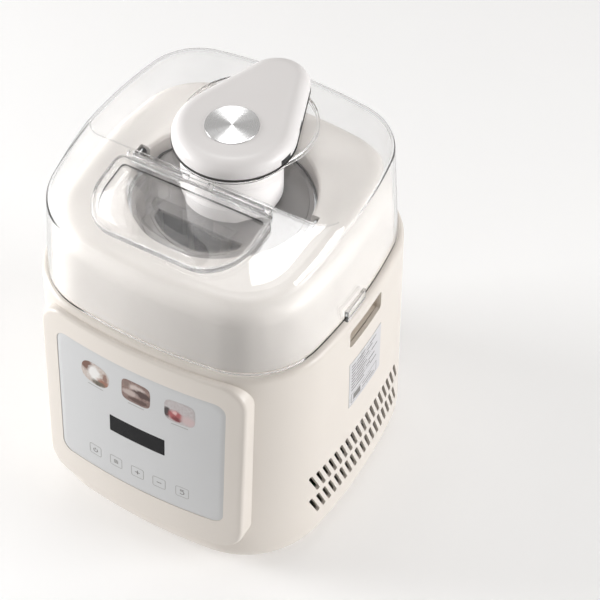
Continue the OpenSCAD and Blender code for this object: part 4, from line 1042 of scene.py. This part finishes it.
def makeLid():
    look = lidLook
    outer, inner = lidSkin(0.0, lidFoot), lidSkin(look["wall"], lidFoot)
    skins = gridPart(np.concatenate([outer[::-1], inner]), capFirst=True, capLast=True)
    shell = makePiece("clearLidShell", [skins], angle=40)
    line = flapLine(look["flapRest"])
    window = gridPart(np.stack([onSlope(line, -20.0), onSlope(line, 20.0)]), capFirst=True, capLast=True)
    motor = lathePart([(look["motorRadius"], 280), (look["motorRadius"], 320)], (0, look["motorY"]), 120)
    post = lathePart([(look["postRadius"], 280), (look["postRadius"], 320)], (0, postY), 60)
    return carve(shell, [makePiece("lidOpenings", [window, motor, post])], angle=40)


def makeCrease():
    # a fine bead carried along the crease of the top
    look = lidLook
    x = np.linspace(-98.5, 98.5, 160)
    path = np.stack([x, creaseY(x), lidHeight(x, creaseY(x)) + 0.1], axis=1)
    along = np.gradient(path[:, :2], axis=0)
    along = along / np.linalg.norm(along, axis=1, keepdims=True)
    across = np.stack([-along[:, 1], along[:, 0], 0 * x], axis=1)
    t = np.linspace(0, 2 * np.pi, 12, endpoint=False)[None, :, None]
    tube = path[:, None] + look["creaseBead"] * (np.cos(t) * across[:, None] + np.sin(t) * np.array([0, 0, 1.0]))
    return makePiece("lidCrease", [gridPart(tube, capFirst=True, capLast=True)], angle=60)


settle(makeLid(), "clear_cover", "clear_lid", clearLid, "lid_shell")
settle(makeCrease(), "clear_cover", "clear_lid", clearFlap)
softened("lid_collar", "clear_cover", "clear_lid", clearLid, edge=0.5)
softened("lid_tabs", "clear_cover", "clear_lid", clearLid, edge=0.8)
softened("hinge_pin", "clear_cover", "clear_lid", clearFlap, edge=0.25)


# feed flap

flapLook = {
    "plate": 2.2, "rim": 5.0, "rimWidth": 2.4, "lift": 0.3, "barrel": 2.6, "pinY": -30.7, "reach": (12.5, 51.5),
}
pinBox = nodeBox("hinge_pin")
pinZ = pinBox[1][2] - flapLook["barrel"]


def makeFlap():
    look = flapLook
    up, rim, wide = look["lift"], look["lift"] + look["rim"], look["rimWidth"]
    floor = up + look["plate"]
    steps = [(0.7, up), (0.2, up + 0.2), (0.0, up + 0.7), (0.0, rim - 0.9), (0.25, rim - 0.25), (0.8, rim),
             (wide - 0.7, rim), (wide - 0.2, rim - 0.2), (wide, rim - 0.8), (wide, floor + 0.8),
             (wide + 0.25, floor + 0.25), (wide + 0.8, floor)]
    rows = [onSlope(flapLine(inset), z) for inset, z in steps]
    middle = np.array([0, -62.0])
    under = [onSlope(middle + (flapLine(0.7) - middle) * s, up) for s in (0.03, 0.5)]
    over = [onSlope(middle + (flapLine(wide + 0.8) - middle) * s, floor) for s in (0.7, 0.4, 0.03)]
    plate = gridPart(np.stack(under + rows + over), capFirst=True, capLast=True)
    barrels = []
    t = np.linspace(0, 2 * np.pi, 32, endpoint=False)
    for side in (-1, 1):
        xs = np.array([look["reach"][0], look["reach"][0] + 0.3, look["reach"][1] - 0.3, look["reach"][1]]) * side
        rs = look["barrel"] - np.array([0.3, 0, 0, 0.3])
        tube = np.stack([xs[:, None] + 0 * t[None], look["pinY"] + rs[:, None] * np.cos(t)[None],
                         pinZ + rs[:, None] * np.sin(t)[None]], axis=-1)
        barrels.append(gridPart(tube, capFirst=True, capLast=True))
        web = roundedBox((19.3, 1.9), 0.3, (side * 32.0, -32.8), 4)
        barrels.append(gridPart(np.stack([onSlope(web, 0.8), onSlope(web, 2.8)]), capFirst=True, capLast=True))
    return plate, barrels


flapPlate, flapBarrels = makeFlap()
settle(makePiece("feedFlapPlate", [flapPlate], angle=50), "flap", "clear_lid", clearFlap, "feed_flap")
settle(makePiece("feedFlapBarrels", flapBarrels, angle=50), "flap", "clear_lid", clearFlap)
print("stage: clear lid and feed flap are made")


# motor head

headLook = {
    "frontY": 17.0, "frontRadius": 43.5, "tailY": 74.0, "tailRadius": 24.0, "edgeIn": 10.5, "edgeDown": 8.6,
    "wall": 2.5, "recess": 0.9, "crown": 0.5, "slots": ((7.0, 19.0), (37.0, 52.0)),
}
headBox = nodeBox("head_cover")
headLow, headHigh = headBox[0][2], headBox[1][2]


def headLine(inset):
    look = headLook
    return eggLine(look["frontY"], look["frontRadius"], look["tailY"], look["tailRadius"], inset)


def headSkin(inset, low):
    # side wall, elliptical shoulder and a slightly crowned top, carried to the middle of the outline
    look = headLook
    top = headHigh - look["crown"] - inset
    turnZ = top - look["edgeDown"] + inset * 0.4
    wall = atHeight(headLine(inset + np.array([1.1, 0.35, 0.0, 0.0])),
                    np.array([low, low + 0.9, low + 2.2, (low + turnZ) / 2])[:, None])
    g = np.linspace(0, np.pi / 2, 14)
    bend = atHeight(headLine(inset + (look["edgeIn"] - inset * 0.4) * (1 - np.cos(g))),
                    (turnZ + (top - turnZ) * np.sin(g))[:, None])
    middle = np.array([0, 32.0])
    k = np.linspace(1, 0.03, 14)[1:, None, None]
    flat = middle + (bend[-1:, :, :2] - middle) * k
    plate = atHeight(flat, top + look["crown"] * ease(1 - k[..., 0]) * np.ones(flat.shape[:2]))
    return np.concatenate([wall, bend, plate])


def makeHead():
    look = headLook
    outer, inner = headSkin(0.0, headLow), headSkin(look["wall"], headLow)
    cover = makePiece("headShell", [gridPart(np.concatenate([outer[::-1], inner]), capFirst=True, capLast=True)])
    seat = lathePart([(19.1, headHigh - look["recess"] - 0.4), (19.1, headHigh + 5)], discCentre, 120)
    return carve(cover, [makePiece("discSeat", [seat])])


def makeSealLipAndGapShade():
    # a black ring a little proud of the cover's lower edge, between two insets: partly the rubber seal's lip,
    # partly painted shadow of the gap under the cover
    outer, inner = headLine([-0.35, 2.4])
    low, high = headLow - 0.5, headLow + 0.35
    ring = np.stack([np.insert(line, 2, z, axis=1)
                     for line, z in ((inner, low), (outer, low), (outer, high), (inner, high))])
    return makePiece("sealLip", [gridPart(ring, ringRows=True)], angle=40)


def makeFlankSlotShade():
    # dark strips let into the wall in place of the side slots, painted shade of the slots' insides; each a short
    # run of the outline between two insets
    outer, inner = [headLine(inset)[0] for inset in (-0.05, 0.8)]
    strips = []
    for low, high in headLook["slots"]:
        band = (outer[:, 1] > low) & (outer[:, 1] < high)
        for side in (-1, 1):
            pick = band & (outer[:, 0] * side > 0)
            order = np.argsort(outer[pick][:, 1])
            line = np.vstack([outer[pick][order], inner[pick][order][::-1]])[::side]
            strips.append(prismPart(line, headLow + 1.6, headLow + 5.4))
    return makePiece("flankSlotShade", strips)


def makeDisc():
    # a thin turned disc with a rounded rim and shallow rings near its edge
    r = (discBox[1][0] - discBox[0][0]) / 2
    top = discBox[1][2]
    profile = [(0.4, top - 1.3), (r - 0.2, top - 1.3), (r, top - 1.1), (r, top - 0.35), (r - 0.1, top - 0.12),
               (r - 0.35, top - 0.02), (r - 0.7, top), (r * 0.75, top - 0.04), (r * 0.5, top - 0.06),
               (r * 0.25, top - 0.06), (0.4, top - 0.06)]
    disc = makePiece("spunDiscPlate", [lathePart(profile, discCentre, 144)], angle=40)
    layer = disc.data.uv_layers.new(name="turned")
    corner = np.empty(len(disc.data.loops), np.int32)
    disc.data.loops.foreach_get("vertex_index", corner)
    place = np.empty(len(disc.data.vertices) * 3, np.float32)
    disc.data.vertices.foreach_get("co", place)
    place = place.reshape(-1, 3)[corner] * 1000 - np.array([discCentre[0], discCentre[1], 0])
    around = np.arctan2(place[:, 1], place[:, 0]) / (2 * np.pi)
    span = np.empty(len(disc.data.polygons), np.int32)
    disc.data.polygons.foreach_get("loop_total", span)
    first = np.repeat(around[np.cumsum(span) - span], span)
    around = around - np.round(around - first)
    layer.data.foreach_set("uv", np.stack([around * 4, np.linalg.norm(place[:, :2], axis=1) / r], axis=1)
                           .astype(np.float32).ravel())
    return disc


settle(makeHead(), "head", "cream_head", creamHead, "head_cover")
# black ring under the head: rubber seal and painted shadow of the gap under the cover
settle(makeSealLipAndGapShade(), "head", "rubber_black", rubberBlack)
# dark strips on the flanks: painted shade where the side slots stand
settle(makeFlankSlotShade(), "head", "dark_plastic", darkPlastic)
tangent = addNode(spunDisc.node_tree, "ShaderNodeTangent", direction_type="UV_MAP", uv_map="turned")
spunDisc.node_tree.links.new(tangent.outputs[0], spunDisc.node_tree.nodes["Principled BSDF"].inputs["Tangent"])
settle(makeDisc(), "head", "spun_disc", spunDisc, "metal_disc")
softened("motor_housing", "head", "cream_head", creamHead, edge=0.6, segments=3)
softened("head_seal", "head", "rubber_black", rubberBlack)
print("stage: motor head is made")


# pieces that keep their shape from the frame, with softened edges

softRows = [
    # node, body, slot, material, edge radius
    ("grip_pockets", "machine", "cream_body", creamRecess, 0.5),
    ("rear_grille", "machine", "cream_body", creamBody, 0.6),
    ("ac_inlet", "machine", "dark_plastic", darkPlastic, 0.4),
    ("feet", "machine", "rubber_black", rubberBlack, 0.5),
    ("cover_gasket", "machine", "rubber_grey", rubberGrey, 0.4),
    ("evaporator_can", "machine", "aluminium", aluminium, 0.3),
    ("power_post", "machine", "white_cover", whiteCover, 0.6),
    ("bowl", "bowl_unit", "steel_bowl", steelBowl, 0.3),
    ("dasher", "dasher_unit", "white_nylon", nylonWhite, 0.4),
    ("drive_stem", "dasher_unit", "white_nylon", nylonWhite, 0.4),
    ("bowl_lid", "inner_lid", "grey_clear", greyClear, 0.5),
    ("bowl_lid_seal", "inner_lid", "rubber_grey", rubberGrey, 0.4),
    ("rating_label", "machine", "label_white", labelWhite, 0.05),
    ("fan_impeller", "fan", "dark_plastic", darkPlastic, 0.3),
    ("fan_frame", "machine", "dark_plastic", darkPlastic, 0.5),
    ("compressor", "machine", "compressor_paint", compressorPaint, 0.6),
]
for softRow in softRows:
    softened(*softRow)


# neutral print on the side label: bars in place of words

labelLook = {
    "rows": 9, "barHeight": 1.1, "top": 168.0, "pitch": 3.3, "left": -20.0, "stand": 0.37,
    "ends": (36, 30, 25, 38, 22, 34, 27, 37, 18),
    # depth from and to, height from and to, of each bar of the box below the rows
    "box": ((-20, 18, 126.5, 126.9), (-20, 18, 136.2, 136.6), (-20, -19.6, 126.5, 136.6), (17.6, 18, 126.5, 136.6),
            (-17, -7, 128.4, 134.6), (-4, 14, 129.0, 130.0), (-4, 10, 132.6, 133.6)),
}


def bodySide(y, z):
    # distance of the wall's side face from the axis at y and height z: the wide side arc
    half, bow = wallPlan(z)[::2]
    return half - bow + np.sqrt(bow ** 2 - y ** 2)


def sideBar(y0, y1, z0, z1):
    # a thin inked plate that lies on the side wall between two depths and two heights
    y = np.linspace(y0, y1, 9)
    line = np.concatenate([np.stack([y, 0 * y + z0], axis=1), np.stack([y[::-1], 0 * y + z1], axis=1)])
    rows = [np.stack([bodySide(line[:, 0], line[:, 1]) + lift, line[:, 0], line[:, 1]], axis=1)
            for lift in (labelLook["stand"] - 0.05, labelLook["stand"])]
    return gridPart(np.stack(rows), capFirst=True, capLast=True)


def makeLabelPrint():
    look = labelLook
    k = np.arange(look["rows"])
    high = look["top"] - k * look["pitch"]
    ends = look["left"] + np.array(look["ends"])
    bars = [sideBar(look["left"], e, z - look["barHeight"], z) for e, z in zip(ends, high)]
    boxBars = [sideBar(*edges) for edges in look["box"]]
    settle(makePiece("labelPrint", bars + boxBars, angle=50), "machine", "label_white", inkGrey)


makeLabelPrint()

plainRows = {
    "base_pan": panPaint, "control_board": boardGreen, "evaporator_coil": copperTube, "insulation": foamYellow,
    "compressor_mounts": rubberBlack, "compressor_bolts": zincScrew, "start_relay": darkPlastic,
    "condenser_fins": aluminium, "condenser_tubes": copperTube, "filter_drier": copperTube,
    "discharge_pipe": copperTube, "power_board": boardGreen, "lid_switch": darkPlastic, "base_screws": zincScrew,
    "housing_bush": bronzeBush, "output_gear": nylonWhite, "idler_gear": nylonWhite, "motor_pinion": bronzeBush,
    "gear_plate": zincScrew, "motor": aluminium, "head_contacts": bronzeBush, "head_screws": zincScrew,
}
for node, material in plainRows.items():
    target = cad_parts[node]
    while len(target.material_slots) < 1:
        target.data.materials.append(None)
    for socket in target.material_slots:
        socket.link = "OBJECT"
        socket.material = material
print("stage: carried-over pieces are dressed")


# floor

def makeFloor():
    n = 24
    u, v = np.meshgrid(np.linspace(-3500, 3500, n), np.linspace(-3500, 3500, n))
    floor = makePiece("studioFloor", [gridPart(np.stack([u, v, 0 * u - 0.02], axis=-1), ringCols=False)])
    material = plastic("floorPaint", (247, 247, 247), 0.7, 0.03, 0.004, 300, 0.02, 0.02)
    floor.data.materials.append(material)
    paint = material.node_tree.nodes["Principled BSDF"]
    setShader(paint, {"Emission Color": (1.0, 0.99, 0.985, 1), "Emission Strength": 0.16})


makeFloor()
